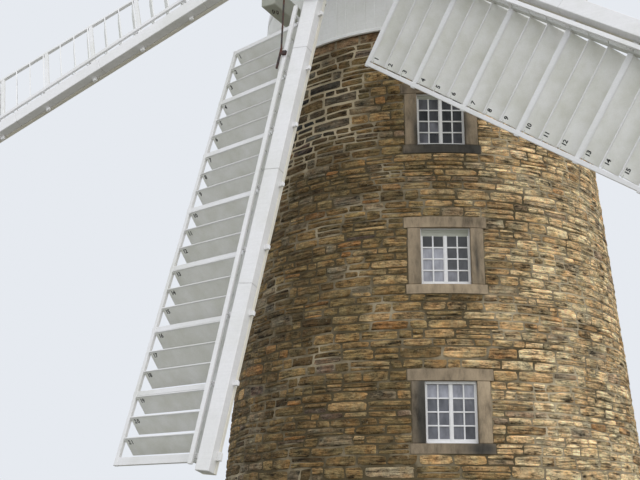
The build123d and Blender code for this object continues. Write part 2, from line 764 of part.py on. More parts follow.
def shutter_bar_place(along):
    """Its trailing edge and its front at a place along the sail."""
    part = (along - HEEL_BAR) / (BAYS * BAY)
    return SHUTTER_BAR_LEAN * part - SHUTTER_BAR_TRAIL, SHUTTER_BAR_FRONT - SHUTTER_BAR_DROP * part


def shutter_bar():
    """The long bar in front of the shutters, with a guide behind it from every cross bar."""
    sections = []
    for along in (SHUTTER_BAR_START, SHUTTER_BAR_TIP):
        low, front = shutter_bar_place(along)
        sections.append((along, low, low + SHUTTER_BAR_WIDTH, front - SHUTTER_BAR_DEPTH, front))
    made = squared(*sections)
    for along, width in bars():
        low, front = shutter_bar_place(along)
        foot = low * sin(weather(along)) - BAR_SET_BACK
        side = low + GUIDE_INSET
        made += box((along - GUIDE_SIZE / 2, along + GUIDE_SIZE / 2), (side, side + GUIDE_SIZE),
                    (foot, front - SHUTTER_BAR_DEPTH / 2))
    return made


def sail_frame():
    """The cross bars, the hem and the uplong that join them, and the shutter bar on its guides."""
    frame = hem() + uplong()
    for along, width in bars():
        frame += straight_bar(along, width)
    return frame + shutter_bar()


def shutter():
    """One open shutter with its pivot pin, on its pivot's line."""
    ends = (-TRAIL_END + HEM_WIDTH + SHUTTER_GAP, -UPLONG_TRAIL - SHUTTER_GAP)
    leaf = box((-SHUTTER_LEAD, SHUTTER_TRAIL), ends, (-SHUTTER_THICKNESS / 2, SHUTTER_THICKNESS / 2))
    opened = Location((0, 0, 0), (0, SHUTTER_OPEN, 0)) * leaf
    inner = -UPLONG_TRAIL - 3 * SEAT - PIVOT_RADIUS * tan(radians(HEEL_WEATHER))
    outer = HEM_WIDTH - TRAIL_END + 3 * SEAT
    pin = Location((0, (inner + outer) / 2, 0), (90, 0, 0)) * Cylinder(PIVOT_RADIUS, inner - outer)
    return opened + pin


def sail_shutters():
    made = []
    piece = shutter()
    for bay in range(BAYS):
        for k in range(SHUTTERS_PER_BAY):
            along = HEEL_BAR + bay * BAY + FIRST_PIVOT + k * SHUTTER_PITCH
            made.append(at_bar(along, piece))
    return made


def spider():
    """The star on the striking rod, one arm to each sail's link."""
    reach = hypot(SPIDER_ALONG, SPIDER_ASIDE)
    turn = -degrees(atan2(SPIDER_ASIDE, SPIDER_ALONG))
    half = SPIDER_ARM / 2
    boss = SPIDER_BOSS_LENGTH / 2
    star = along_shaft(SPIDER_BOSS, SPIDER_FRONT - boss, SPIDER_FRONT + boss)
    star += along_shaft(STRIKING_ROD, BOSS_FRONT + SEAT, SPIDER_FRONT + ROD_PROUD)
    arm = box((0, reach + half), (-half, half), (SPIDER_FRONT - half, SPIDER_FRONT + half))
    for place in at_sails(Location((0, 0, 0), (0, 0, turn)) * arm):
        star += place
    return star


def striking_link():
    """The link from the spider to the crank beside a sail's shutter bar, and the crank."""
    low, face = shutter_bar_place(CRANK_START)
    crank_back = face + CRANK_GAP
    crank_front = crank_back + CRANK_DEPTH
    front = SPIDER_FRONT + SPIDER_ARM / 2 + SEAT
    start = Vector(SPIDER_ALONG, -SPIDER_ASIDE, front + LINK_EYE_HEIGHT / 2)
    eye = Location(start) * Cylinder(LINK_EYE_RADIUS, LINK_EYE_HEIGHT)
    end = Vector(CRANK_START + CRANK_WIDTH, -CRANK_ASIDE, (crank_back + crank_front) / 2)
    link = eye + straight(start, end, Circle(LINK_RADIUS))
    half = CRANK_WIDTH / 2
    crank = box((CRANK_START, CRANK_END), (-CRANK_ASIDE - half, -CRANK_ASIDE + half),
                (crank_back, crank_front))
    inner = CRANK_START + LEVER_START
    width = (inner, inner + LEVER_WIDTH)
    reach = low + SHUTTER_BAR_WIDTH + LEVER_LAP
    lever = box(width, (-CRANK_ASIDE, reach), (crank_back, crank_front))
    foot = box(width, (low + LEVER_LAP, reach), (face + SEAT, crank_front))
    return link + crank + lever + foot


def write_tower():
    for k, piece in enumerate(tower_walls(), 1):
        save(f"wall_{k}", [piece])
    save("ground_floor", [floor_disc(0, GROUND_SLAB)])
    save("upper_floors", [floor_disc(top - FLOOR_THICKNESS, top) for top in floor_tops()])
    head = outer_radius(TOWER_HEIGHT) - CURB_OVERHANG
    save("curb", [ring(head, inner_radius(TOWER_HEIGHT), TOWER_HEIGHT, CURB_TOP)])
    save("lintels", stones(0))
    save("jambs", stones(1))
    save("sills", stones(2))
    save("window_frames", at_windows(window_frame(WINDOW_HEIGHT)))
    save("window_glass", at_windows(window_pane(WINDOW_HEIGHT)))
    frame, leaf = door_pieces()
    save("door_frame", [frame])
    save("door_leaf", [leaf])


def write_cap():
    outer = roof_solid(0)
    save("cap_circle", [cap_circle()])
    save("sheers", sheer_pair())
    save("cap_beams", [weather_beam(), tail_beam()])
    save("cap_skirt", [cap_skirt()])
    save("cap_roof", cap_roof(outer))
    save("cap_neck", cap_neck(outer))
    save("cap_hood", [cap_hood(outer)])
    save("cap_finial", [cap_finial()])
    save("fan_stage", fan_stage())
    save("fan_posts", fan_posts())
    save("fan_wheel", [fan_wheel()])
    save("fan_blades", fan_blades())


def write_rotor():
    save("windshaft", [windshaft()])
    save("sail_cross", [sail_cross()])
    save("spider", [spider()])
    save("striking_links", at_sails(striking_link()))
    save("whips", at_sails(whip()))
    frame = sail_frame()
    shutters = sail_shutters()
    for k in range(SAILS):
        save(f"sail_{k + 1}_frame", [sail_place(k) * frame])
        save(f"sail_{k + 1}_shutters", [sail_place(k) * piece for piece in shutters])


os.makedirs("parts", exist_ok=True)
write_tower()
write_cap()
write_rotor()
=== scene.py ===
"""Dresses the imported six-sailed tower windmill: masonry, windows, cap, fantail, sails and ironwork."""
import math

import bpy
import numpy as np
from bpy.props import FloatProperty, FloatVectorProperty, IntProperty, PointerProperty
from bpy.types import Operator, Panel, PropertyGroup
from mathutils import Matrix


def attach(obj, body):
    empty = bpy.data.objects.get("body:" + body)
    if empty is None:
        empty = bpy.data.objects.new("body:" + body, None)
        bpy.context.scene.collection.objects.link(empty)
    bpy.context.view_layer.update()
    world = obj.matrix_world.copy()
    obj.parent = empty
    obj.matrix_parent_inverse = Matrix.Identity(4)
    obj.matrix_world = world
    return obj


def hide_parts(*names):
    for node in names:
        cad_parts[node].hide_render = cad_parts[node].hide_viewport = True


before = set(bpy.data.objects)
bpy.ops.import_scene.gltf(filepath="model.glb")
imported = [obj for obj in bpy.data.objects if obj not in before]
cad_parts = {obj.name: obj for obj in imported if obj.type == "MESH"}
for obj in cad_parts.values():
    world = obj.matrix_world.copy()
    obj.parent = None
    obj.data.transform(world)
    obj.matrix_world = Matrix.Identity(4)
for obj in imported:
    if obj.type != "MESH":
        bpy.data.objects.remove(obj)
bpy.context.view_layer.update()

bl_info = {
    "name": "Six-sailed tower windmill",
    "version": (1, 0, 0),
    "blender": (4, 5, 0),
    "location": "3D View > Sidebar > Windmill",
    "description": "Dresses a stone tower mill: masonry, windows, boarded cap, fantail, sails and ironwork",
    "category": "Object",
}

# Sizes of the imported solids, in millimetres, that the dressed pieces follow.

TOWER_HEIGHT, TOWER_RADIUS, TOWER_BATTER = 7686.0, 3247.0, 0.085
FRONT_AZIMUTH, BACK_AZIMUTH = math.radians(26.944), math.radians(206.944)
WINDOW_WIDTH, WINDOW_HEIGHT, WINDOW_RECESS = 681.0, 812.0, 92.0
WINDOW_SILLS = (1398.0, 3531.0, 5601.0)
WINDOW_PLACES = ([(FRONT_AZIMUTH, sill) for sill in WINDOW_SILLS]
                 + [(BACK_AZIMUTH, sill) for sill in WINDOW_SILLS[1:]])
HEAD_BED = WINDOW_SILLS[0] + WINDOW_HEIGHT  # behind the tower this bed drops to the foot of the door's lintel
FRAME_DEPTH = 60.0
LINTEL_LENGTH, LINTEL_HEIGHT, JAMB_WIDTH = 1130.0, 156.0, 175.0
SILL_LENGTH, SILL_HEIGHT, STONE_DEPTH, STONE_PROUD = 1098.0, 137.0, 230.0, 12.0
DOOR_WIDTH, DOOR_BOTTOM, DOOR_TOP, DOOR_RECESS, DOOR_FRAME = 1150.0, 120.0, 2200.0, 180.0, 80.0
SKIRT_BOTTOM, SKIRT_TOP, SKIRT_RADIUS, SKIRT_BOARD = 7480.0, 8555.0, 2660.0, 25.0
RIM_PROUD, RIM_HEIGHT = 16.0, 50.0
ROOF_CURVE, ROOF_TURN, ROOF_NECK, ROOF_LEAN = 1450.0, math.radians(66.0), 150.0, math.radians(8.0)
ROOF_THICKNESS = 45.0
HOOD_HALF, HOOD_FRONT, HOOD_TOP, HOOD_SIDE = 530.0, 2715.0, 9620.0, 9255.0
FINIAL_HEIGHT, FINIAL_BALL = 620.0, 135.0
SHEER_WIDTH, SHEER_HEIGHT, SHEER_SPACING, SHEER_BOTTOM = 238.0, 300.0, 2360.0, 7979.3
SHEER_FRONT, SHEER_TAIL = 3240.0, 4150.0
SHAFT_TILT = math.radians(11.887)
HUB = np.array((0.0, -3405.0, 9039.0))
SAILS, SAIL_LEAN = 6, math.radians(5.783)
BAYS, BAY, HEEL_BAR = 7, 915.0, 1696.0
HEEL_WEATHER, TIP_WEATHER = math.radians(16.6), math.radians(10.7)
BAR_SET_BACK, BAR_RAKE, BAR_DEPTH = 105.0, math.radians(2.8), 40.0
BAR_WIDTH, TIP_BAR_WIDTH = 66.0, 105.0
BAR_PAST_HEM, TIP_BAR_PAST_HEM = 14.0, 5.0
WHIP_START, WHIP_TIP = 430.0, 8300.0
WHIP_TRAIL, WHIP_LEAD, WHIP_FRONT, WHIP_BACK = 148.0, 88.0, 46.0, 188.0
WHIP_TRAIL_TAPER, WHIP_FRONT_TAPER, WHIP_BACK_TAPER = 40.0, 16.0, 26.0
WHIP_BUTTS = (2319.0, 4251.0, 5901.0)
ARM_START, ARM_END, ARM_BOLTS = 280.0, 1480.0, (560.0, 800.0, 1040.0, 1280.0, 1430.0)
TRAIL_END, LEAD_END, HEM_WIDTH = 1700.0, 163.0, 60.0
UPLONG_TRAIL, UPLONG_LEAD, UPLONG_DEPTH, UPLONG_PROUD = 272.0, 160.0, 84.0, 20.0
SHUTTER_BAR_START, SHUTTER_BAR_TIP, SHUTTER_BAR_TRAIL = 1560.0, 8225.0, 293.0
SHUTTER_BAR_WIDTH, SHUTTER_BAR_DEPTH, SHUTTER_BAR_FRONT = 60.0, 40.0, 42.0
SHUTTER_BAR_LEAN, SHUTTER_BAR_DROP = 41.0, 34.0  # ahead and to the back, from its first bar to its last
SHUTTERS_PER_BAY, SHUTTER_PITCH, FIRST_PIVOT = 3, 281.0, 72.0
SHUTTER_LEAD, SHUTTER_TRAIL = 43.0, 230.0
SHUTTER_LOW, SHUTTER_HIGH = HEM_WIDTH + 16.0 - TRAIL_END, -UPLONG_TRAIL - 8.0


# Working in millimetres on whole arrays, and turning them into meshes.

def linear(code):
    """An sRGB hex colour as linear red, green, blue and alpha."""
    parts = [int(code[i:i + 2], 16) / 255 for i in (1, 3, 5)]
    return (*[c / 12.92 if c <= 0.04045 else ((c + 0.055) / 1.055) ** 2.4 for c in parts], 1.0)


def stacked(*parts):
    """Arrays of x, y and z put together as points."""
    return np.stack(np.broadcast_arrays(*parts), -1)


def outer_radius(height):
    """The tower's outer face: it leans in by the batter for each unit of height."""
    return TOWER_RADIUS - TOWER_BATTER * height


def wall_point(azimuth, across, out, height):
    """On the tower's face: across at right angles to the azimuth, out proud of the cone."""
    reach = outer_radius(height) + out
    deep = np.sqrt(np.maximum(reach ** 2 - across ** 2, 0))
    return stacked(across * np.cos(azimuth) + deep * np.sin(azimuth),
                   across * np.sin(azimuth) - deep * np.cos(azimuth), height)


def round_point(azimuth, radius, height):
    """A point on a circle round the tower's axis; azimuth runs from -Y towards +X."""
    return stacked(radius * np.sin(azimuth), -radius * np.cos(azimuth), height)


def carried_faces(stations, profile):
    """Faces of a closed profile carried through stations: its sides, then a strip of quads over each end."""
    i, j = np.meshgrid(np.arange(stations - 1), np.arange(profile), indexing="ij")
    k = (j + 1) % profile
    sides = np.stack([i * profile + j, i * profile + k, (i + 1) * profile + k, (i + 1) * profile + j], -1)
    a = np.arange(profile // 2 - 1)
    start = np.stack([a, profile - 1 - a, profile - 2 - a, a + 1], -1)
    last = (stations - 1) * profile
    end = last + start[:, ::-1]
    return np.concatenate([sides.reshape(-1, 4), start, end])


def sheet_faces(rows, columns, round_rows=False, round_columns=False):
    """Quads of a grid of points, joined up along the directions that close on themselves."""
    i, j = np.meshgrid(np.arange(rows - (not round_rows)), np.arange(columns - (not round_columns)),
                       indexing="ij")
    k, m = (i + 1) % rows, (j + 1) % columns
    return np.stack([i * columns + j, i * columns + m, k * columns + m, k * columns + j], -1).reshape(-1, 4)


def carried(rings):
    """Points and faces for solids given as [..., stations, profile, 3]."""
    stations, profile = rings.shape[-3:-1]
    solids = rings.reshape(-1, stations * profile, 3)
    faces = carried_faces(stations, profile)
    steps = np.arange(len(solids))[:, None, None] * stations * profile
    return solids.reshape(-1, 3), (faces[None] + steps).reshape(-1, 4)


def together(parts):
    """Several (points, faces) as one."""
    points, faces, start = [], [], 0
    for p, f in parts:
        points.append(p)
        faces.append(f + start)
        start += len(p)
    return np.concatenate(points), np.concatenate(faces)


def joined(solids):
    """Several solids, each given as rings, as one (points, faces)."""
    return together([carried(rings) for rings in solids])


def rounded_rectangle(low, high, back, front, arris):
    """Eight points, anticlockwise seen against the path: a rectangle with each arris taken off."""
    low, high, back, front, e = np.broadcast_arrays(low, high, back, front, arris)
    across = np.stack([low + e, high - e, high, high, high - e, low + e, low, low], -1)
    up = np.stack([back, back, back + e, front - e, front, front, front - e, back + e], -1)
    return across, up


def timber(along, low, high, back, front, arris=5.0):
    """A board as rings of (along, across, up): a rectangle with its arrises off, also at both ends."""
    along = np.asarray(along, float)
    e = arris
    stations = np.concatenate([along[:1], along[:1] + e, along[1:-1], along[-1:] - e, along[-1:]])

    def spread(value):
        value = np.broadcast_to(np.asarray(value, float), along.shape)
        return np.concatenate([value[:1], value[:1], value[1:-1], value[-1:], value[-1:]])

    inset = np.zeros(len(stations))
    inset[[0, -1]] = e
    across, up = rounded_rectangle(spread(low) + inset, spread(high) - inset, spread(back) + inset,
                                   spread(front) - inset, e * np.where(inset > 0, 0.35, 1.0))
    return stacked(stations[:, None], across, up)


def block(x, y, z, arris=5.0):
    """A straight timber from its limits along each axis, as rings carried along the longest one."""
    limits = np.array([x, y, z], float)
    order = np.roll(np.arange(3), -int(np.argmax(limits[:, 1] - limits[:, 0])))
    path, across, up = limits[order]
    rings = timber(path, across[0], across[1], up[0], up[1], arris)
    return rings[..., np.argsort(order)]


def rod(points, radius, sides=8):
    """A round bar of one radius through points in a line or a gentle curve, as rings."""
    points = np.asarray(points, float)
    path = np.gradient(points, axis=0)
    path /= np.linalg.norm(path, axis=1, keepdims=True)
    hint = np.where(np.abs(path[:, 2:]) > 0.9, (1.0, 0.0, 0.0), (0.0, 0.0, 1.0))
    a = np.cross(hint, path)
    a /= np.linalg.norm(a, axis=1, keepdims=True)
    b = np.cross(path, a)
    t = np.arange(sides) * 2 * np.pi / sides
    return points[:, None] + radius * (np.cos(t)[:, None] * a[:, None] + np.sin(t)[:, None] * b[:, None])


def turned(profile, sides):
    """A turned solid round +Z from (radius, height) pairs, bottom first, as rings of a regular polygon."""
    profile = np.asarray(profile, float)
    t = np.arange(sides) * 2 * np.pi / sides
    return stacked(profile[:, :1] * np.cos(t), profile[:, :1] * np.sin(t), profile[:, 1:])


def placed(name, data):
    """A new object in the scene."""
    thing = bpy.data.objects.new(name, data)
    bpy.context.scene.collection.objects.link(thing)
    return thing


def make_piece(name, solids, body, coat, replaces=(), sharp=None, colours=None):
    """A mesh object in metres from (points, faces) in millimetres, riding on a body and standing for its CAD
    nodes; edges sharper than so many degrees stay sharp, and without a number all of them do."""
    points, faces = solids
    mesh = bpy.data.meshes.new(name)
    mesh.vertices.add(len(points))
    mesh.vertices.foreach_set("co", (points * 0.001).astype(np.float32).ravel())
    mesh.loops.add(faces.size)
    mesh.loops.foreach_set("vertex_index", faces.astype(np.int32).ravel())
    mesh.polygons.add(len(faces))
    mesh.polygons.foreach_set("loop_start", np.arange(0, faces.size, faces.shape[1], dtype=np.int32))
    mesh.update(calc_edges=True)
    mesh.polygons.foreach_set("use_smooth", np.full(len(faces), sharp is not None))
    if sharp is not None:
        mesh.set_sharp_from_angle(angle=math.radians(sharp))
    if colours is not None:
        attribute = mesh.color_attributes.new("tint", "FLOAT_COLOR", "POINT")
        attribute.data.foreach_set("color", colours.astype(np.float32).ravel())
    mesh.materials.append(finish(coat))
    piece = placed(name, mesh)
    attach(piece, body)
    if replaces:
        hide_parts(*replaces)
    return piece


def shade(name):
    """A colour of the settings."""
    return tuple(getattr(bpy.context.scene.windmill, name))


def connect(tree, node, links):
    """Sets a node's inputs; links are (input, value or output socket) pairs."""
    for key, value in links:
        if isinstance(value, bpy.types.NodeSocket):
            tree.links.new(value, node.inputs[key])
        else:
            node.inputs[key].default_value = value
    return node


def add_node(tree, kind, links=(), **settings):
    """One node with its settings and inputs."""
    node = tree.nodes.new(kind)
    for key, value in settings.items():
        setattr(node, key, value)
    return connect(tree, node, links)


class Coat:
    """A finish in the making: one Principled shader, and patterns in the object's own coordinates."""

    def __init__(self, name):
        self.material = bpy.data.materials.new(name)
        self.material.use_nodes = True
        self.tree = self.material.node_tree
        self.tree.nodes.clear()
        self.shader = add_node(self.tree, "ShaderNodeBsdfPrincipled")
        add_node(self.tree, "ShaderNodeOutputMaterial", [("Surface", self.shader.outputs[0])])
        self.place = self.out("ShaderNodeTexCoord", result="Object")

    def out(self, kind, links=(), result=0, **settings):
        """One result of a new node."""
        return add_node(self.tree, kind, links, **settings).outputs[result]

    def tint(self, result="Color"):
        """The colour painted on the mesh, or the fourth value kept with it."""
        return self.out("ShaderNodeVertexColor", result=result, layer_name="tint")

    def noise(self, size, detail=4.0, rough=0.55, place=None):
        """Fractal noise from 0 to 1 whose largest patches are about size millimetres along each axis."""
        scale = tuple(1000.0 / np.broadcast_to(np.asarray(size, float), 3))
        place = self.place if place is None else place
        place = self.out("ShaderNodeMapping", [("Vector", place), ("Scale", scale)])
        return self.out("ShaderNodeTexNoise", [("Vector", place), ("Scale", 1.0), ("Detail", detail),
                                               ("Roughness", rough)], "Fac")

    def ramp(self, value, *stops):
        """Colours or greys at given positions along a value."""
        node = add_node(self.tree, "ShaderNodeValToRGB", [("Fac", value)])
        elements = node.color_ramp.elements
        while len(elements) < len(stops):
            elements.new(0.5)
        for element, (position, colour) in zip(elements, stops):
            element.position = position
            element.color = colour if np.ndim(colour) else (colour, colour, colour, 1.0)
        return node.outputs["Color"]

    def mixed(self, factor, first, second, kind="MIX"):
        """Two colours mixed by a factor."""
        return self.out("ShaderNodeMix", [(0, factor), (6, first), (7, second)], 2, data_type="RGBA",
                        blend_type=kind, clamp_factor=True)

    def toned(self, colour, pattern, *stops, part=1.0):
        """A colour times what a ramp makes of a pattern."""
        return self.mixed(part, colour, self.ramp(pattern, *stops), "MULTIPLY")

    def times(self, first, second):
        return self.out("ShaderNodeMath", [(0, first), (1, second)], operation="MULTIPLY")

    def plus(self, first, second, part):
        """A value and a part of another."""
        return self.out("ShaderNodeMath", [(0, first), (1, self.times(second, part))], operation="ADD")

    def done(self, colour, roughness, height=None, millimetres=0.0, *constants):
        """The material with its colour, roughness and a bump whose full height is so many millimetres."""
        links = [("Base Color", colour), ("Roughness", roughness), *constants]
        if height is not None:
            bump = [("Height", height), ("Distance", millimetres * 0.001), ("Strength", 1.0)]
            links.append(("Normal", self.out("ShaderNodeBump", bump)))
        connect(self.tree, self.shader, links)
        return self.material


# Finishes. Each is named for the real material; sizes are in millimetres.

def rubble_finish(name):
    """Split sandstone laid on its bed: flaky laminations, gritty faces and each stone its own colour."""
    coat = Coat(name)
    tint, flaky = coat.tint(), coat.tint("Alpha")
    own = coat.out("ShaderNodeVectorMath", [(0, tint), (1, (43.0, 61.0, 29.0))], operation="MULTIPLY")
    own = coat.out("ShaderNodeVectorMath", [(0, own), (1, coat.place)], operation="ADD")
    beds = coat.noise((420, 420, 30), 6.0, 0.68, own)  # laminations, drawn at 30 mm so that they show
    lumps = coat.noise((95, 95, 62), 5.0, 0.66, own)
    grit = coat.noise(24, 3.0, 0.7, own)  # sand grains, drawn coarse so that they show
    relief = coat.out("ShaderNodeMix", [("Factor", flaky), ("A", lumps), ("B", beds)], data_type="FLOAT")
    relief = coat.plus(coat.times(relief, 0.8), grit, 0.2)
    # Painted shade and highlight: darker where the relief is low, up to twice as light where it is high.
    colour = coat.toned(tint, relief, (0.37, 0.12), (0.44, 0.70), (0.52, 1.14), (0.66, 2.0))
    # Painted shadows: thin dark lines along the laminations, where shade falls under their ledges.
    ledge_shadow_lines = coat.noise((420, 420, 52), 4.0, 0.55, own)
    colour = coat.toned(colour, ledge_shadow_lines, (0.486, 1.0), (0.497, 0.22), (0.504, 0.22), (0.514, 1.0))
    # Painted shade in the hollows and painted highlight on the high parts, most on the flaky stones.
    hollow_shade = coat.noise((210, 210, 64), 5.0, 0.7)
    hollow_shaded = coat.toned(colour, hollow_shade, (0.36, 0.12), (0.45, 0.84), (0.53, 1.22), (0.68, 1.75))
    colour = coat.mixed(flaky, colour, hollow_shaded)
    bloom = coat.noise(190, 4.0, 0.6)
    colour = coat.toned(colour, bloom, (0.40, (1.06, 0.97, 0.89, 1.0)), (0.60, (0.95, 1.02, 1.03, 1.0)))
    rusty = coat.mixed(1.0, colour, (1.14, 0.98, 0.78, 1.0), "MULTIPLY")
    stain, lichen = coat.noise(150, 4.0, 0.6, own), coat.noise(62, 5.0, 0.68, own)
    colour = coat.mixed(coat.ramp(stain, (0.48, 0.0), (0.66, 0.75)), colour, rusty)
    colour = coat.mixed(coat.ramp(lichen, (0.59, 0.0), (0.70, 0.6)), colour, shade("lichen"))
    return coat.done(colour, 0.92, relief, 75.0, ("Specular IOR Level", 0.25))


def mortar_finish(name):
    """Weathered lime mortar: dark with dirt and painted shade, pale and sandy high on the left and far on the
    right.
    """
    coat = Coat(name)

    def rising(axis, low, high):
        """From 0 to 1 between two places along an axis, in metres."""
        value = coat.out("ShaderNodeSeparateXYZ", [("Vector", coat.place)], axis)
        return coat.out("ShaderNodeMapRange", [("Value", value), ("From Min", low), ("From Max", high)])

    high_left = coat.times(rising("X", 1.0, -1.0), rising("Z", 4.9, 6.4))
    wash = coat.plus(coat.times(high_left, 0.35), rising("X", 1.6, 2.5), 0.12)
    pale = coat.plus(coat.noise(700, 4.0), wash, 1.0)
    grit = coat.noise(9, 3.0, 0.7)
    # The dark end of the ramp is dirt and painted shade in the recessed joints.
    colour = coat.ramp(pale, (0.49, shade("mortar_dark")), (0.76, shade("mortar_pale")))
    colour = coat.toned(colour, grit, (0.3, 0.7), (0.7, 1.2), part=0.6)
    return coat.done(colour, 0.95, grit, 5.0, ("Specular IOR Level", 0.2))


def dressed_finish(name):
    """Tooled sandstone: smooth faces with fine tool marks, soot and damp in long stains."""
    coat = Coat(name)
    stain, grain = coat.noise((120, 120, 330), 6.0, 0.66), coat.noise(10, 3.0, 0.7)
    tooling = coat.noise((9, 9, 160), 2.0)
    colour = coat.toned(coat.tint(), stain, (0.30, 0.25), (0.46, 0.85), (0.56, 1.1), (0.72, 1.35), part=0.8)
    colour = coat.toned(colour, grain, (0.3, 0.78), (0.7, 1.18), part=0.5)
    return coat.done(colour, 0.88, coat.plus(grain, tooling, 0.6), 2.5, ("Specular IOR Level", 0.3))


def paint_finish(name, colour, dirt, gloss=0.42, grain_size=(900, 900, 14)):
    """Linseed paint on softwood: faint brush lines, dirt in patches and a low sheen."""
    coat = Coat(name)
    grain, patch, speck = coat.noise(grain_size, 3.0), coat.noise(900, 5.0, 0.62), coat.noise(35, 2.0)
    paint = coat.mixed(coat.ramp(patch, (0.42, 0.0), (0.78, 0.75)), shade(colour), shade(dirt))
    paint = coat.toned(paint, speck, (0.25, 0.93), (0.7, 1.02), part=0.55)
    paint = coat.toned(paint, grain, (0.3, 0.95), (0.65, 1.02), part=0.6)
    dull = coat.ramp(patch, (0.3, gloss), (0.8, gloss + 0.25))
    return coat.done(paint, dull, coat.plus(grain, speck, 0.3), 0.8)


def canvas_finish(name):
    """Painted canvas stretched on a frame: matt, greyer than the timber, with a weave and weather stains."""
    coat = Coat(name)
    weave = coat.noise(16, 2.0)  # threads are under 1 mm; drawn at 16 mm so that they show
    stain = coat.noise(320, 5.0, 0.6)
    colour = coat.mixed(coat.ramp(stain, (0.35, 0.0), (0.75, 0.8)), shade("canvas"), shade("canvas_stain"))
    colour = coat.toned(colour, weave, (0.3, 0.94), (0.7, 1.03), part=0.5)
    return coat.done(colour, 0.72, weave, 0.8, ("Sheen Weight", 0.08))


def iron_finish(name):
    """Cast iron under old dark paint: nearly black with rust showing brown through it."""
    coat = Coat(name)
    rust = coat.noise(120, 6.0, 0.65)
    colour = coat.ramp(rust, (0.42, shade("iron")), (0.66, shade("rust")))
    return coat.done(colour, coat.ramp(rust, (0.4, 0.45), (0.65, 0.8)), coat.noise(8, 3.0), 1.2)


def glass_finish(name):
    """Old window glass over a dark room: a hard gloss, each pane a little different behind it."""
    coat = Coat(name)
    cloud = coat.noise((90, 90, 220), 3.0)
    colour = coat.toned(coat.tint(), cloud, (0.3, 0.6), (0.7, 1.3), part=0.9)
    return coat.done(colour, 0.06, coat.noise(130, 1.0), 1.5, ("Specular IOR Level", 0.3))


def sign_finish(name):
    """Black sign paint brushed on canvas: matt and a little worn."""
    coat = Coat(name)
    worn = coat.ramp(coat.noise(30, 3.0), (0.35, linear("#1d1d1f")), (0.75, linear("#4a4a4a")))
    return coat.done(worn, 0.7)


def boards_finish(name):
    """Bare planed softwood boards: long grain and a grey-brown cast."""
    coat = Coat(name)
    grain, patch = coat.noise((18, 700, 700), 5.0), coat.noise(800, 3.0)
    colour = coat.toned(shade("bare_wood"), grain, (0.3, 0.72), (0.7, 1.2), part=0.8)
    colour = coat.toned(colour, patch, (0.3, 0.8), (0.7, 1.15), part=0.5)
    return coat.done(colour, 0.75, grain, 1.5)


FINISHES = {  # a slot named for each one's pieces, which nothing here gives them, what makes it and its values
    "split_sandstone": ("stone", rubble_finish),
    "lime_mortar": ("stone", mortar_finish),
    "tooled_sandstone": ("dressed_stone", dressed_finish),
    "white_painted_softwood": ("white_timber", paint_finish, "white", "white_dirt"),
    "cream_painted_softwood": ("white_timber", paint_finish, "cream", "white_dirt"),
    "aged_white_painted_softwood": ("white_timber", paint_finish, "skirt_paint", "skirt_dirt", 0.5),
    # Olive-grey painted shade, for the window heads and the sheers under the cap.
    "olive_painted_softwood": ("white_timber", paint_finish, "beam_paint", "beam_dirt", 0.55),
    # Grey: painted shade on the uplongs, and the paint of the shutter links.
    "grey_painted_softwood": ("white_timber", paint_finish, "grey_paint", "grey_dirt", 0.5),
    "green_painted_softwood": ("door_paint", paint_finish, "door_paint", "iron", 0.42, (14, 14, 900)),
    "painted_canvas": ("shutter_canvas", canvas_finish),
    "painted_cast_iron": ("dark_iron", iron_finish),
    "window_pane_glass": ("glass", glass_finish),
    "black_sign_paint": ("dark_iron", sign_finish),
    "planed_softwood": ("beam_timber", boards_finish),
}
WHITE, GREY, IRON = "white_painted_softwood", "grey_painted_softwood", "painted_cast_iron"


def finish(name):
    """A finish made on first use and kept by name."""
    maker, *values = FINISHES[name][1:]
    return bpy.data.materials.get(name) or maker(name, *values)


def dress_nodes(name, *nodes):
    """Gives CAD nodes that stay in sight a finish."""
    for node in nodes:
        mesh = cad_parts[node].data
        mesh.materials.clear()
        mesh.materials.append(finish(name))


# Masonry

def smooth(value):
    """From 0 to 1 with a soft start and end."""
    value = np.clip(value, 0, 1)
    return value * value * (3 - 2 * value)


def turn_between(azimuth, other):
    return (azimuth - other + np.pi) % (2 * np.pi) - np.pi


def bed_levels(settings, rng):
    """Heights of the beds: the tops and bottoms of the dressed stones, and even courses between them."""
    fixed = [0.0, DOOR_BOTTOM]
    for sill in WINDOW_SILLS:
        top = sill + WINDOW_HEIGHT
        fixed += [sill - SILL_HEIGHT, sill, top, top + LINTEL_HEIGHT]
    fixed += [SKIRT_BOTTOM - 150.0, SKIRT_BOTTOM + 20.0]
    levels = [0.0]
    for low, high in zip(fixed, fixed[1:]):
        count = max(1, round((high - low) / settings.course_height))
        weights = rng.uniform(0.68, 1.35, count)
        levels += list(low + (high - low) * np.cumsum(weights) / weights.sum())
    return np.array(levels)


def bed_waves(levels, settings, rng):
    """Each bed wanders up and down round the tower, but is level beside the dressed stones."""
    count, waves = len(levels), 5
    phase = rng.uniform(0, 2 * np.pi, (count, waves))
    turns = rng.integers(3, 19, (count, waves))
    size = rng.uniform(0.3, 1.0, (count, waves)) * settings.bed_wander / waves
    size[[0, -1, -2]] = 0.0
    door = ((levels > HEAD_BED - 5) & (levels < HEAD_BED + LINTEL_HEIGHT + 5)) * (DOOR_TOP - HEAD_BED)

    def height(bed, azimuth):
        wave = np.sum(size[bed][..., None, :] * np.sin(turns[bed][..., None, :] * azimuth[..., None]
                                                       + phase[bed][..., None, :]), -1)
        for middle in (FRONT_AZIMUTH, BACK_AZIMUTH):
            wave = wave * smooth((np.abs(turn_between(azimuth, middle)) - 0.26) / 0.3)
        behind = 1 - smooth((np.abs(turn_between(azimuth, BACK_AZIMUTH)) - 0.30) / 0.2)
        return levels[bed][..., None] + wave + door[bed][..., None] * behind

    return height


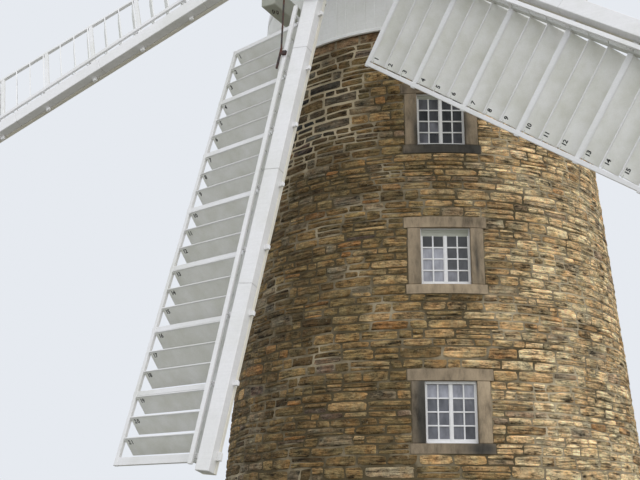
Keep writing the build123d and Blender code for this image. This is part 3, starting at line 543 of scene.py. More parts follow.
def dressed_spans():
    """Azimuth, half width, bottom and top of every dressed stone or opening that the rubble stops at."""
    spans = []
    for azimuth, sill in WINDOW_PLACES:
        top = sill + WINDOW_HEIGHT
        spans += [(azimuth, SILL_LENGTH / 2, sill - SILL_HEIGHT, sill),
                  (azimuth, WINDOW_WIDTH / 2 + JAMB_WIDTH, sill, top),
                  (azimuth, LINTEL_LENGTH / 2, top, top + LINTEL_HEIGHT)]
    over = DOOR_WIDTH / 2 + (LINTEL_LENGTH - WINDOW_WIDTH) / 2
    return spans + [(BACK_AZIMUTH, DOOR_WIDTH / 2 + JAMB_WIDTH, DOOR_BOTTOM, HEAD_BED),
                    (BACK_AZIMUTH, over, HEAD_BED, HEAD_BED + LINTEL_HEIGHT)]


def free_arcs(low, high, start):
    """The arcs of one course that no dressed stone or opening takes."""
    middle = (low + high) / 2
    cuts = []
    for azimuth, half, bottom, top in dressed_spans():
        if bottom < middle < top:
            reach = math.asin(half / outer_radius(middle))
            cuts.append((azimuth - reach, azimuth + reach))
    if not cuts:
        return [(start, start + 2 * np.pi)]
    cuts.sort()
    ends = [cut[0] for cut in cuts[1:]] + [cuts[0][0] + 2 * np.pi]
    return [(cut[1], end) for cut, end in zip(cuts, ends)]


def lay_stones(settings, rng):
    """Each course cut into stones of random length; some long stones are two thin ones, one on the other."""
    levels = bed_levels(settings, rng)
    rows = []
    for bed, (low, high) in enumerate(zip(levels, levels[1:])):
        radius = outer_radius((low + high) / 2)
        head = low > SKIRT_BOTTOM - 160
        average = settings.stone_length * (1.9 if head else 0.72 + 0.0045 * (high - low - 60))
        for start, end in free_arcs(low, high, rng.uniform(0, 2 * np.pi)):
            count = max(1, round((end - start) * radius / average))
            weights = rng.uniform(0.42, 1.65, count)
            joints = start + (end - start) * np.concatenate([[0], np.cumsum(weights)]) / weights.sum()
            split = (rng.random(count) < 0.26) & (high - low > 105) & (not head)
            part = np.where(split, rng.uniform(0.36, 0.64, count), 1.0)
            whole = stacked(bed, joints[:-1], joints[1:], 0.0, part, float(head))
            upper = stacked(bed, joints[:-1], joints[1:], part, 1.0, float(head))[split]
            rows += [whole, upper]
    stones = np.concatenate(rows)
    return stones, bed_waves(levels, settings, rng)


def light_side(azimuth):
    """From 0 on the dark side of the tower, left of the windows, to 1 on the dry bright side."""
    turn = np.degrees(turn_between(azimuth, 0.0))
    return smooth((turn - 10) / 50) * smooth((190 - turn) / 50)


def sooty_side(azimuth, height):
    """How sooty the stone is: most high up on the left of the windows."""
    turn = np.degrees(turn_between(azimuth, 0.0))
    return smooth((14 - turn) / 34) * smooth((turn + 130) / 40) * (0.3 + 0.7 * smooth((height - 4700) / 1500))


def stone_colours(azimuth, height, rng):
    """Soot-dark stones high on the left of the windows, browns round them, light ochre to the right of them;
    the fourth value says how flaky a stone is."""
    count = len(azimuth)
    light, sooty = light_side(azimuth), sooty_side(azimuth, height)
    tone = 0.50 + 0.47 * light - 0.38 * sooty + rng.normal(0, 0.085, count) * (1 + 0.2 * light)
    palette = np.array([shade("stone_" + name) for name in ("soot", "brown", "tan", "ochre", "straw")])
    place = np.clip(tone, 0, 0.999)[:, None] * (len(palette) - 1)
    below = place.astype(int)[:, 0]
    part = place - below[:, None]
    colour = palette[below] * (1 - part) + palette[below + 1] * part
    pick = rng.random(count)
    for name, chosen in (("rust", pick < 0.03), ("grey", (pick > 0.90 - 0.12 * sooty) & (pick < 0.97)),
                         ("plum", pick > 0.97)):
        colour = np.where(chosen[:, None], 0.5 * colour + 0.5 * np.array(shade("stone_" + name)), colour)
    colour[:, :3] *= rng.uniform(0.76, 1.24, (count, 1))
    colour[:, 3] = np.clip(0.62 + 0.38 * light + rng.normal(0, 0.2, count), 0, 1)
    return colour


def wandered(rng, shape, size):
    """Random offsets along the last axis, each the mean of three neighbours, so that an edge wanders."""
    steps = rng.normal(0, size, (*shape[:-1], shape[-1] + 2))
    return (steps[..., :-2] + steps[..., 1:-1] + steps[..., 2:]) / 1.7


def stone_rings(stones, height, settings, rng):
    """Each stone is a low pillow. Across it u and v run from 0 to 1: the face stands proud by the stone's
    relief, tips a little, wanders by a few millimetres, falls away over the arrises and ends below the
    mortar. Each corner is rounded by its own amount and the edges wander; the top course is calmer."""
    count = len(stones)
    bed = stones[:, 0].astype(int)
    head = stones[:, 5][:, None, None] > 0
    calm = np.where(head, 0.2, 1.0)
    u = np.array([0.0, 0.035, 0.13, 0.38, 0.63, 0.87, 0.965, 1.0])
    v = np.array([1.0, 0.955, 0.86, 0.63, 0.37, 0.14, 0.045, 0.0])
    rise = np.array([-0.9, 0.55, 0.92, 1.0, 1.0, 0.92, 0.55, -0.9])
    fall = np.array([-0.5, 0.58, 0.94, 1.0, 1.0, 0.94, 0.58, -0.5])
    middle = height(bed, stones[:, 1:2])[:, 0]
    wide = 1 + 1.2 * sooty_side(stones[:, 1], middle) - 0.4 * light_side(stones[:, 1])
    joint = (settings.joint_width / 2 * wide)[:, None] * rng.uniform(0.45, 1.5, (count, 4))
    radius = outer_radius(middle)
    left, right = stones[:, 1] + joint[:, 0] / radius, stones[:, 2] - joint[:, 1] / radius
    azimuth = left[:, None] + (right - left)[:, None] * u
    low, high = height(bed, azimuth), height(bed + 1, azimuth)
    bottom = low + (high - low) * stones[:, 3:4] + joint[:, 2:3]
    top = low + (high - low) * stones[:, 4:5] - joint[:, 3:4]
    start = np.array([1.0, 0.42, 0.06, 0, 0, 0, 0, 0])
    end = start[::-1]
    size = (top - bottom).min(1, keepdims=True) * calm[:, :, 0]
    turn = size * rng.uniform(0.03, 0.30, (count, 4))
    bottom = bottom + turn[:, :1] * start + turn[:, 1:2] * end
    top = top - turn[:, 2:3] * start - turn[:, 3:] * end
    edge = size * 0.050
    bottom = bottom + np.abs(wandered(rng, (count, 8), 1.0)) * edge
    top = top - np.abs(wandered(rng, (count, 8), 1.0)) * edge
    z = bottom[..., None] + (top - bottom)[..., None] * v
    lean = rng.normal(0, 11.0, (count, 1, 1)) * np.where(head, 0.1, 1.0) * (v - 0.5)
    side = np.abs(wandered(rng, (count, 2, 8), 6.0)) * calm
    shift = lean + side[:, :1] * (1 - u[:, None]) ** 3 - side[:, 1:] * u[:, None] ** 3
    relief = rng.uniform(settings.relief_low, settings.relief_high, (count, 1, 1)) * np.where(head, 0.4, 1.0)
    shape = np.minimum(fall[:, None], rise[None, :])
    tip = rng.normal(0, 4.0, (count, 1, 1)) * (u[:, None] - 0.5)
    tip = tip + rng.normal(0, 4.6, (count, 1, 1)) * (v[None] - 0.5)
    out = relief * shape + (tip + rng.normal(0, 2.3, (count, 8, 8))) * (shape > 0.5) * calm
    out = np.where(shape < 0, 10.0 * shape, np.clip(out, 1.0, 24.0))
    return round_point(azimuth[..., None] + shift / radius[:, None, None], outer_radius(z) + out, z)


class WINDMILL_OT_masonry(Operator):
    """Lay coursed rubble over the wall, which stays as its mortar"""
    bl_idname = "windmill.masonry"
    bl_label = "Rubble masonry"

    def execute(self, context):
        settings = context.scene.windmill
        rng = np.random.default_rng(11)
        stones, height = lay_stones(settings, rng)
        middle = (stones[:, 1] + stones[:, 2]) / 2
        level = height(stones[:, 0].astype(int), middle[:, None])[:, 0]
        colours = stone_colours(middle, level, rng)
        dressed = np.array((*shade("dressed_head")[:3], 0.3)) * rng.uniform(0.8, 1.15, (len(stones), 1))
        colours = np.where(stones[:, 5:6] > 0, dressed, colours)
        rings = stone_rings(stones, height, settings, rng)
        sector = np.floor((middle - FRONT_AZIMUTH + np.pi / 6) / (np.pi / 3)).astype(int) % 6
        for k in range(6):
            own = sector == k
            make_piece(f"rubble_{k + 1}", carried(rings[own]), "tower", "split_sandstone", sharp=60,
                       colours=np.repeat(colours[own], 64, axis=0))
        dress_nodes("lime_mortar", *[f"wall_{k}" for k in range(1, 7)])
        return {"FINISHED"}


# Heights round a dressed stone's profile, as parts of its own: over it, down its face and back under it.
FACE_LEVELS = np.array([1.0, 1.0, 1.0, 0.985, 0.66, 0.33, 0.015, 0.0, 0.0, 0.0])


def dressed_block(azimuth, left, right, bottom, top, rng, columns=14):
    """A dressed stone: across the wall its face follows the cone, worn by a millimetre or two, with rounded
    arrises; the profile runs back into the wall behind it."""
    worn = 9.0
    fraction = np.concatenate([[0.0], np.linspace(0, 1, columns), [1.0]])
    inset = np.zeros(columns + 2)
    inset[[0, -1]] = worn
    across = left + (right - left) * fraction
    across[1] += 0.6 * worn
    across[-2] -= 0.6 * worn
    high, low = (top - inset)[:, None], (bottom + inset)[:, None]
    side = np.array([-STONE_DEPTH, -90.0, STONE_PROUD - worn, STONE_PROUD, STONE_PROUD])
    out = np.concatenate([side, side[::-1]])
    z = low + (high - low) * FACE_LEVELS
    out = out - inset[:, None] * (out > 0) + rng.normal(0, 0.9, z.shape) * (out > 0)
    return wall_point(azimuth, across[:, None], out, z)


def window_stones():
    """Azimuth, left, right, bottom and top of each lintel, jamb and sill."""
    lintels, jambs, sills = [], [], []
    for azimuth, sill in WINDOW_PLACES:
        top, half = sill + WINDOW_HEIGHT, WINDOW_WIDTH / 2
        lintels.append((azimuth, -LINTEL_LENGTH / 2, LINTEL_LENGTH / 2, top, top + LINTEL_HEIGHT))
        jambs += [(azimuth, -half - JAMB_WIDTH, -half, sill, top - 3),
                  (azimuth, half, half + JAMB_WIDTH, sill, top - 3)]
        sills.append((azimuth, -SILL_LENGTH / 2, SILL_LENGTH / 2, sill - SILL_HEIGHT, sill - 3))
    half, over = DOOR_WIDTH / 2, (LINTEL_LENGTH - WINDOW_WIDTH) / 2
    lintels.append((BACK_AZIMUTH, -half - over, half + over, DOOR_TOP, DOOR_TOP + LINTEL_HEIGHT))
    for low, high in ((DOOR_BOTTOM, 820.0), (823.0, 1490.0), (1493.0, DOOR_TOP - 3)):
        jambs += [(BACK_AZIMUTH, -half - JAMB_WIDTH, -half, low, high),
                  (BACK_AZIMUTH, half, half + JAMB_WIDTH, low, high)]
    return lintels, jambs, sills


DRESSED_STAINS = {  # how dark each stone is, how much darker its stain, and the stain's middle and reach
    "lintels": ((0.05, 0.3, 0.2, 0.5, 0.3, 0.9), (0.0, 0.25, 0.6, 0.6, 0.3, 0.6),
                (0.3, 0.3, 0.5, 0.5, 0.5, 0.5), (0.2, 0.0, 0.5, 0.5, 0.5, 0.5),
                (0.4, 0.0, 0.5, 0.5, 0.5, 0.5), (0.3, 0.0, 0.5, 0.5, 0.5, 0.5)),
    "jambs": ((0.55, 0.6, 0.75, 0.5, 0.4, 0.9), (0.1, 0.2, 0.0, 0.5, 0.3, 0.9),
              (0.2, 0.3, 0.8, 0.3, 0.3, 0.7), (0.22, 0.80, 0.45, 0.42, 0.15, 0.35),
              (0.25, 0.95, 0.95, 0.28, 0.36, 0.38), (0.35, 0.65, 0.0, 0.5, 0.25, 0.5),
              *10 * ((0.25, 0.3, 0.5, 0.3, 0.4, 0.5),)),
    "sills": ((0.35, 0.8, 0.8, 0.5, 0.2, 0.9), (0.05, 0.2, 0.2, 0.3, 0.3, 0.5),
              (1.0, -0.35, 0.1, 0.6, 0.12, 0.6), (0.4, 0.0, 0.5, 0.5, 0.5, 0.5),
              (0.6, 0.0, 0.5, 0.5, 0.5, 0.5)),
}


def stained(stain, shape):
    """How sooty a dressed stone is over its face: a base and one soft patch round a middle (across, up)."""
    base, more, across, up, wide, high = stain
    u = np.linspace(0, 1, shape[0])[:, None]
    patch = np.exp(-((u - across) / wide) ** 2 - ((FACE_LEVELS - up) / high) ** 2)
    return np.clip(base + more * patch, 0, 1)


class WINDMILL_OT_dressed_stone(Operator):
    """Set the lintels, jambs and sills, each with worn arrises and its own stain"""
    bl_idname = "windmill.dressed_stone"
    bl_label = "Dressed stones"

    def execute(self, context):
        rng = np.random.default_rng(5)
        soot, tan = np.array(shade("dressed_soot")), np.array(shade("dressed_tan"))
        for name, stones in zip(("lintels", "jambs", "sills"), window_stones()):
            parts, colours = [], []
            for stone, stain in zip(stones, DRESSED_STAINS[name]):
                rings = dressed_block(*stone, rng)
                parts.append(rings)
                dark = stained(stain, rings.shape)[..., None]
                colours.append(((soot * dark + tan * (1 - dark)) * rng.uniform(0.9, 1.1)).reshape(-1, 4))
            colours = np.concatenate(colours)
            colours[:, 3] = 1.0
            make_piece(f"dressed_{name}", carried(np.stack(parts)), "tower", "tooled_sandstone", (name,), 40,
                       colours)
        return {"FINISHED"}


# Windows and the door

def at_window(rings, azimuth, height):
    """From the window's own place (across, into the wall, up) to the tower's face at a height."""
    reach = outer_radius(height)
    c, s = math.cos(azimuth), math.sin(azimuth)
    x, y, z = rings[..., 0], rings[..., 1] - reach, rings[..., 2] + height
    return stacked(x * c - y * s, x * s + y * c, z)


PANE_SIDES = (-318.0, -167.5, 0.0, 167.5, 318.0)  # middles of the stiles and bars across a window
WINDOW_HEADS = (46.0, 108.0, 74.0)  # from the top of each opening down to its glass


def pane_levels(head):
    """Heights of the rails and bars from the bottom rail to the head."""
    return np.linspace(56 - WINDOW_HEIGHT / 2, WINDOW_HEIGHT / 2 - head, 5)


def casement_heads(head):
    """The lining and top rails at the head of a window, set back under the frame's front edge."""
    x, z, front = WINDOW_WIDTH / 2 - 16, WINDOW_HEIGHT / 2 - 15, WINDOW_RECESS
    return [block((-x, x), (front + 20, front + FRAME_DEPTH), (z - 44, z), 3),
            block((-x, x), (front + 26, front + FRAME_DEPTH - 2), (pane_levels(head)[4] - 4, z - 42), 3)]


def casement_pair(head_height):
    """Frame, two four-by-two sashes and a sill board, as straight timbers set in one another."""
    x, z, front = WINDOW_WIDTH / 2 - 1, WINDOW_HEIGHT / 2 - 1, WINDOW_RECESS
    side, head, foot, back = 14.0, 14.0 if head_height > 60 else 40.0, 20.0, front + FRAME_DEPTH
    levels = pane_levels(head_height)
    members = [block((-x, -x + side), (front, back), (-z, z), 3),
               block((x - side, x), (front, back), (-z, z), 3),
               block((-x + side - 2, x - side + 2), (front, back), (z - head, z), 4),
               block((-x + side - 2, x - side + 2), (front - 14, back), (-z, -z + foot), 4)]
    face, low, high = front + 9.0, -z + foot, levels[4] + 4.0
    for hand in (-1, 1):
        outer, inner = hand * (x - side), hand * 1.0
        stiles = [sorted((outer, outer - hand * 20.0)), sorted((inner, inner + hand * 26.0))]
        members += [block(stile, (face, face + 32), (low, high), 3) for stile in stiles]
        rails = sorted((outer - hand * 18.0, inner + hand * 24.0))
        members.append(block(rails, (face, face + 32), (low, levels[0] + 6), 3))
        middle = hand * PANE_SIDES[3]
        members.append(block((middle - 10, middle + 10), (face + 4, face + 26), (low + 9, high), 3))
        members += [block(rails, (face + 6, face + 24), (level - 9.5, level + 9.5), 3)
                    for level in levels[1:4]]
    members.append(block((-16, 16), (face - 7, face + 4), (low, high), 3))
    return members


def pane_sheets(head, rng):
    """Sixteen panes, each a thin slab that leans a little differently."""
    sheets = []
    for low, high in zip(PANE_SIDES, PANE_SIDES[1:]):
        for foot, top in zip(pane_levels(head), pane_levels(head)[1:]):
            pane = block((low + 1, high - 1), (0, 4), (foot + 1, top - 1), 0.5)
            lean = rng.normal(0, 0.012, 2)
            depth = (pane[..., 0] - (low + high) / 2) * lean[0] + (pane[..., 2] - (foot + top) / 2) * lean[1]
            pane[..., 1] += WINDOW_RECESS + 27.0 + depth
            sheets.append(pane)
    return sheets


PANES_PALE = (  # how pale each window's panes are, row by row from the bottom, left to right
    ((0.42, 0.45, 0.42, 0.25), (0.42, 0.40, 0.38, 0.40), (0.36, 0.34, 0.34, 0.38), (0.95, 0.95, 1.0, 0.95)),
    ((0.90, 0.85, 0.55, 0.25), (0.90, 0.85, 0.15, 0.20), (0.95, 0.90, 0.12, 0.15), (0.05, 0.05, 0.08, 0.05)),
    ((0.45, 0.15, 0.10, 0.20), (0.25, 0.45, 0.10, 0.12), (0.10, 0.15, 0.08, 0.10), (0.30, 0.22, 0.15, 0.20)))


class WINDMILL_OT_windows(Operator):
    """Fit the casements with their glazing bars, the panes, and the boarded door"""
    bl_idname = "windmill.windows"
    bl_label = "Windows and door"

    def execute(self, context):
        rng = np.random.default_rng(3)
        dark, pale = np.array(shade("room_dark")), np.array(shade("room_pale"))
        frames, heads, panes, tints = [], [], [], []
        for k, (azimuth, sill) in enumerate(WINDOW_PLACES):
            head, height = WINDOW_HEADS[k % 3], sill + WINDOW_HEIGHT / 2
            frames += [at_window(member, azimuth, height) for member in casement_pair(head)]
            if head > 60:
                heads += [at_window(member, azimuth, height) for member in casement_heads(head)]
            for pane, part in zip(pane_sheets(head, rng), np.array(PANES_PALE[k % 3]).T.ravel()):
                panes.append(at_window(pane, azimuth, height))
                tints.append(np.tile(dark * (1 - part) + pale * part, (pane.size // 3, 1)))
        make_piece("casements", joined(frames), "tower", WHITE, ("window_frames",))
        # The heads' olive-grey paint is painted shade under the recessed head of each window.
        make_piece("casement_heads", joined(heads), "tower", "olive_painted_softwood")
        make_piece("window_panes", joined(panes), "tower", "window_pane_glass", ("window_glass",),
                   colours=np.concatenate(tints))
        self.hang_door()
        return {"FINISHED"}

    def hang_door(self):
        """Planks between the posts of the frame, with strap hinges and a ring latch."""
        middle = (DOOR_BOTTOM + DOOR_TOP) / 2
        x, z, front = DOOR_WIDTH / 2 - 1, (DOOR_TOP - DOOR_BOTTOM) / 2 - 1, DOOR_RECESS
        deep, lap, count = (front, front + 110), DOOR_FRAME - 2, 7
        posts = [block((-x, -x + DOOR_FRAME), deep, (-z, z), 6), block((x - DOOR_FRAME, x), deep, (-z, z), 6),
                 block((-x + lap, x - lap), deep, (z - DOOR_FRAME, z), 6)]
        inner = x - DOOR_FRAME - 1
        wide = 2 * inner / count
        planks = [block((-inner + k * wide + 0.8, -inner + (k + 1) * wide - 0.8), (front + 20, front + 68),
                        (-z + 1, z - DOOR_FRAME - 2), 4) for k in range(count)]
        straps = [block((-inner + 10, inner - 190), (front + 12, front + 21), (level, level + 52), 3)
                  for level in (-760, 0, 700)]
        turn = np.linspace(0, 2 * np.pi, 19)
        ring = rod(stacked(inner - 110 + 48 * np.sin(turn), front + 9.0, -40 + 48 * np.cos(turn)), 7)
        for name, solids, coat, node in (("door_posts", posts, WHITE, ("door_frame",)),
                                         ("door_planks", planks, "green_painted_softwood", ("door_leaf",)),
                                         ("door_irons", straps + [ring], IRON, ())):
            solids = [at_window(solid, BACK_AZIMUTH, middle) for solid in solids]
            make_piece(name, joined(solids), "tower", coat, node, 40)


class WINDMILL_OT_inside(Operator):
    """Give the floors, the curb and the timbers inside the cap their finishes"""
    bl_idname = "windmill.inside"
    bl_label = "Floors, curb and cap frame"

    def execute(self, context):
        dress_nodes("planed_softwood", "upper_floors", "curb", "cap_circle", "cap_beams")
        dress_nodes("lime_mortar", "ground_floor")
        return {"FINISHED"}


# Cap

def boarded(azimuth, boards, groove, width=0.06):
    """Depth of the joints between upright boards round the cap: a narrow vee at every board's edge."""
    part = (azimuth * boards / (2 * np.pi)) % 1.0
    edge = np.minimum(part, 1 - part)
    return -groove * np.clip(1 - edge / width, 0, 1)


def board_turns(boards):
    """Six places across each board: its two edges, the lips of the joints and two on its face."""
    across = np.array([0.0, 0.06, 0.12, 0.5, 0.88, 0.94])
    return ((np.arange(boards)[:, None] + across) * 2 * np.pi / boards).ravel()


def ogee(count):
    """Radius and height up the roof: a convex arc from the skirt, then a concave one to the neck."""
    centre = SKIRT_RADIUS - ROOF_CURVE
    upper = centre + ROOF_CURVE * math.cos(ROOF_TURN) - ROOF_NECK
    upper /= math.cos(ROOF_LEAN) - math.cos(ROOF_TURN)
    a = np.linspace(0, ROOF_TURN, count)
    b = np.linspace(ROOF_TURN, ROOF_LEAN, count)[1:]
    far = centre + (ROOF_CURVE + upper) * math.cos(ROOF_TURN)
    top = SKIRT_TOP + (ROOF_CURVE + upper) * math.sin(ROOF_TURN)
    radius = np.concatenate([centre + ROOF_CURVE * np.cos(a), far - upper * np.cos(b)])
    height = np.concatenate([SKIRT_TOP + ROOF_CURVE * np.sin(a), top - upper * np.sin(b)])
    return radius, height


class WINDMILL_OT_cap(Operator):
    """Board the skirt and the ogee roof, trim the hood, and set the finial and the fore-and-aft beams"""
    bl_idname = "windmill.cap"
    bl_label = "Boarded cap"

    def execute(self, context):
        boards = context.scene.windmill.skirt_boards
        self.skirt(boards)
        self.roof(boards // 2)
        self.hood()
        self.finial()
        self.beams()
        return {"FINISHED"}

    def skirt(self, boards):
        """Radius over azimuth and height: the skirt's face less the joints between its boards. Round its foot
        runs a proud rim with a weathered top and a drip under it."""
        turns = board_turns(boards)
        face = np.array([(SKIRT_TOP + 2, 0.0), (SKIRT_BOTTOM + 30, 0.0), (SKIRT_BOTTOM + 6, -2.0),
                         (SKIRT_BOTTOM + 6, -SKIRT_BOARD), (SKIRT_TOP + 2, -SKIRT_BOARD)])
        joints = boarded(turns, boards, 5.0)[:, None] * (face[:, 1] > -3)
        rim = np.array([(RIM_HEIGHT + 9, 0.5), (RIM_HEIGHT - 4, RIM_PROUD - 2), (RIM_HEIGHT - 9, RIM_PROUD),
                        (3, RIM_PROUD), (0, RIM_PROUD - 3), (0, -SKIRT_BOARD + 3), (8, -SKIRT_BOARD + 1),
                        (20, -8.0)]) + (SKIRT_BOTTOM, 0.0)
        parts = []
        for turn, profile, joint in ((turns, face, joints),
                                     (np.linspace(0, 2 * np.pi, 180, endpoint=False), rim, 0.0)):
            rings = round_point(turn[:, None], SKIRT_RADIUS + profile[:, 1] + joint, profile[:, 0])
            parts.append((rings.reshape(-1, 3), sheet_faces(len(turn), len(profile), True, True)))
        make_piece("skirt_boards", together(parts), "cap", "aged_white_painted_softwood", ("cap_skirt",), 35)

    def roof(self, boards):
        """Radius over azimuth and arc length: the ogee less the joints, open where the windshaft comes out.
        It gets its thickness inwards."""
        radius, height = ogee(17)
        turn = board_turns(boards)
        depth = boarded(turn, boards, 7.0)[:, None] * np.clip(radius / 1200, 0.1, 1.0)
        points = round_point(turn[:, None], radius + depth, height).reshape(-1, 3)
        faces = sheet_faces(len(turn), len(radius), True)[:, ::-1]
        x, y, z = np.moveaxis(points[faces], -1, 0)
        inside = (np.abs(x) < HOOD_HALF - 30) & (y < -300) & (z < HOOD_TOP - 120)
        shell = make_piece("roof_boards", (points, faces[~inside.all(1)]), "cap", WHITE,
                           ("cap_roof", "cap_neck"), 35)
        solid = shell.modifiers.new("thickness", "SOLIDIFY")
        solid.thickness, solid.offset = ROOF_THICKNESS * 0.001, -1.0

    def hood(self):
        """White paint on the hood, and a flat board bent along its front edge over the windshaft."""
        dress_nodes(WHITE, "cap_hood")
        rise = HOOD_TOP - HOOD_SIDE
        radius = (HOOD_HALF ** 2 + rise ** 2) / (2 * rise)
        arch = np.linspace(-1, 1, 25) * math.asin(HOOD_HALF / radius)
        front, foot = -HOOD_FRONT - 6.0, SKIRT_TOP + 40
        path = stacked(radius * np.sin(arch), front, HOOD_TOP - radius + radius * np.cos(arch))
        edge = np.concatenate([[[-HOOD_HALF, front, foot]], path, [[HOOD_HALF, front, foot]]])
        make_piece("hood_trim", carried(self.trim(edge)), "cap", WHITE, (), 35)

    def trim(self, path):
        """A flat board bent along the front edge of the hood, 34 mm thick and 70 mm wide."""
        step = np.gradient(path, axis=0)
        step /= np.linalg.norm(step, axis=1, keepdims=True)
        out = np.cross(step, (0.0, 1.0, 0.0))
        across, up = rounded_rectangle(-62.0, 8.0, -17.0, 17.0, 4.0)
        return path[:, None] + across[:, None] * out[:, None] + up[:, None] * np.array((0.0, -1.0, 0.0))

    def finial(self):
        """A turned post: its profile runs from the base up to the spike."""
        foot = float(ogee(17)[1][-1])
        base = [(20, 0), (178, 0), (182, 10), (182, 44), (170, 60), (152, 66), (140, 90), (112, 150),
                (82, 230), (60, 300), (52, 334), (66, 346), (66, 360), (50, 370)]
        centre, tip = foot + FINIAL_HEIGHT - 1.2 * FINIAL_BALL, foot + FINIAL_HEIGHT + 86
        profile = [(radius, foot + height) for radius, height in base]
        profile += [(FINIAL_BALL * math.cos(a), centre + FINIAL_BALL * math.sin(a))
                    for a in np.linspace(-1.15, 1.2, 12)]
        profile += [(42, tip - 92), (40, tip - 70), (22, tip + 20), (7, tip + 128), (4, tip + 130)]
        make_piece("finial_turned", carried(turned(profile, 28)), "cap", WHITE, ("cap_finial",), 40)

    def beams(self):
        """The two sheers with rounded arrises, and an eye and a hook for ropes under each front end."""
        sheers, irons = [], []
        y, eye, hook = 170 - SHEER_FRONT, np.linspace(0, 2 * np.pi, 15), np.linspace(0.2, 1.75 * np.pi, 12)
        for x in (-SHEER_SPACING / 2, SHEER_SPACING / 2):
            sheers.append(block((x - SHEER_WIDTH / 2, x + SHEER_WIDTH / 2), (-SHEER_FRONT, SHEER_TAIL),
                                (SHEER_BOTTOM, SHEER_BOTTOM + SHEER_HEIGHT), 14))
            irons += [rod(stacked(x, y + 30 * np.sin(eye), SHEER_BOTTOM - 22 - 30 * np.cos(eye)), 7),
                      rod(stacked(x + 70, y + 26 * np.sin(hook), SHEER_BOTTOM - 52 + 26 * np.cos(hook)), 7)]
        # The sheers' olive-grey paint is painted shade, as they lie under the cap.
        make_piece("sheer_beams", joined(sheers), "cap", "olive_painted_softwood", ("sheers",))
        make_piece("sheer_irons", joined(irons), "cap", IRON, (), 40)


# Fantail

class WINDMILL_OT_fantail(Operator):
    """Paint the fantail's stage, posts, wheel and blades white"""
    bl_idname = "windmill.fantail"
    bl_label = "Fantail"

    def execute(self, context):
        dress_nodes(WHITE, "fan_stage", "fan_posts", "fan_wheel", "fan_blades")
        return {"FINISHED"}


# Sails. Their own frame has x out along the whip, y ahead to the leading side and z out of the face.

def weather(along):
    """Slope of the bars to the plane that the sail turns in, less towards the tip."""
    return HEEL_WEATHER + (TIP_WEATHER - HEEL_WEATHER) * (along - HEEL_BAR) / (BAYS * BAY)


def weathered(rings, along):
    """Points turned round the whip by the weather at a place along it, and set back behind its axis."""
    slope = weather(along)
    c, s = np.cos(slope), np.sin(slope)
    up = rings[..., 1] * s + rings[..., 2] * c - BAR_SET_BACK
    return stacked(rings[..., 0], rings[..., 1] * c - rings[..., 2] * s, up)


def at_bar(rings, along):
    """From a bar's own frame, y along it: swung outwards by the rake, then turned by the weather there."""
    c, s = math.cos(BAR_RAKE), math.sin(BAR_RAKE)
    out = along + rings[..., 0] * c - rings[..., 1] * s
    return weathered(stacked(out, rings[..., 0] * s + rings[..., 1] * c, rings[..., 2]), along)


def shaft_axes(angle):
    """Out along a sail at an angle, ahead of it and to the front along the windshaft."""
    c, s = math.cos(SHAFT_TILT), math.sin(SHAFT_TILT)
    out = np.array((math.cos(angle), math.sin(angle) * s, math.sin(angle) * c))
    front = np.array((0.0, -c, s))
    return np.array([out, np.cross(front, out), front])


def at_sail(rings, k):
    """From a sail's own frame to its place on the windshaft."""
    return HUB + rings @ shaft_axes(-math.pi / 2 - SAIL_LEAN + k * 2 * math.pi / SAILS)


def bar_places():
    """Distances of the bars along the whip, and their widths; the last one is wider."""
    return HEEL_BAR + BAY * np.arange(BAYS + 1), np.array([BAR_WIDTH] * BAYS + [TIP_BAR_WIDTH])


def crosswise(rings):
    """Rings carried ahead across the sail: (path, across, up) become ahead, front and along."""
    return rings[..., [2, 0, 1]]


def whip_part(along, back, front, proud=0.0, arris=7.0):
    """A length of the whip between two parts of its depth, from 0 at the back to 1: it tapers to the tip."""
    part = (np.asarray(along) - WHIP_START) / (WHIP_TIP - WHIP_START)
    low, high = WHIP_BACK_TAPER * part - WHIP_BACK, WHIP_FRONT - WHIP_FRONT_TAPER * part
    depth = high - low
    return timber(along, WHIP_TRAIL_TAPER * part - WHIP_TRAIL, WHIP_LEAD + proud, low + back * depth,
                  low + front * depth, arris)


def whip_lengths():
    """The whip's front timber, in four lengths with hairline butts between them."""
    butts = (WHIP_START, *WHIP_BUTTS, WHIP_TIP)
    return [whip_part((start + 0.6, end - 0.6), 0.31, 1.0) for start, end in zip(butts, butts[1:])]


def hem():
    """The timber across the bars' outer ends, with a station at every bar so that it follows their twist."""
    places, widths = bar_places()
    c, shift = math.cos(BAR_RAKE), (TRAIL_END - HEM_WIDTH / 2) * math.sin(BAR_RAKE)
    places[[0, -1]] += np.array((-0.5, 0.5)) * widths[[0, -1]]
    rings = timber(places + shift, -TRAIL_END * c, (HEM_WIDTH - TRAIL_END) * c, -25.0, 25.0)
    return weathered(rings, rings[..., 0] - shift)


def bar(along, wide):
    """A cross bar from just past the hem to its stub ahead of the whip, where one corner is cut off."""
    past, half = BAR_PAST_HEM if wide == BAR_WIDTH else TIP_BAR_PAST_HEM, BAR_DEPTH / 2
    path = (-TRAIL_END - past, LEAD_END - 16.0, LEAD_END)
    rings = timber(path, -half, half, (-wide / 2, -wide / 2, 14 - wide / 2), wide / 2, 4.0)
    return at_bar(crosswise(rings), along)


def uplong_ends():
    """The uplong runs from the first bar's edge to a little past the last one's."""
    places, widths = bar_places()
    return np.array((places[0] - widths[0] / 2, places[-1] + widths[-1] / 2 + UPLONG_PROUD))


def uplong_middle(along):
    """Height of the uplong's middle: straight from its first bar's slope to its last one's."""
    levels = -(UPLONG_TRAIL + UPLONG_LEAD) / 2 * np.sin(weather(uplong_ends())) - BAR_SET_BACK
    return np.interp(along, uplong_ends(), levels)


def uplong():
    """The straight timber beside the whip, through which the bars pass."""
    along, half = uplong_ends(), UPLONG_DEPTH / 2
    trail, middle = -UPLONG_TRAIL * math.cos(BAR_RAKE) * np.cos(weather(along)), uplong_middle(along)
    return timber(along, trail, -UPLONG_LEAD, middle - half, middle + half)


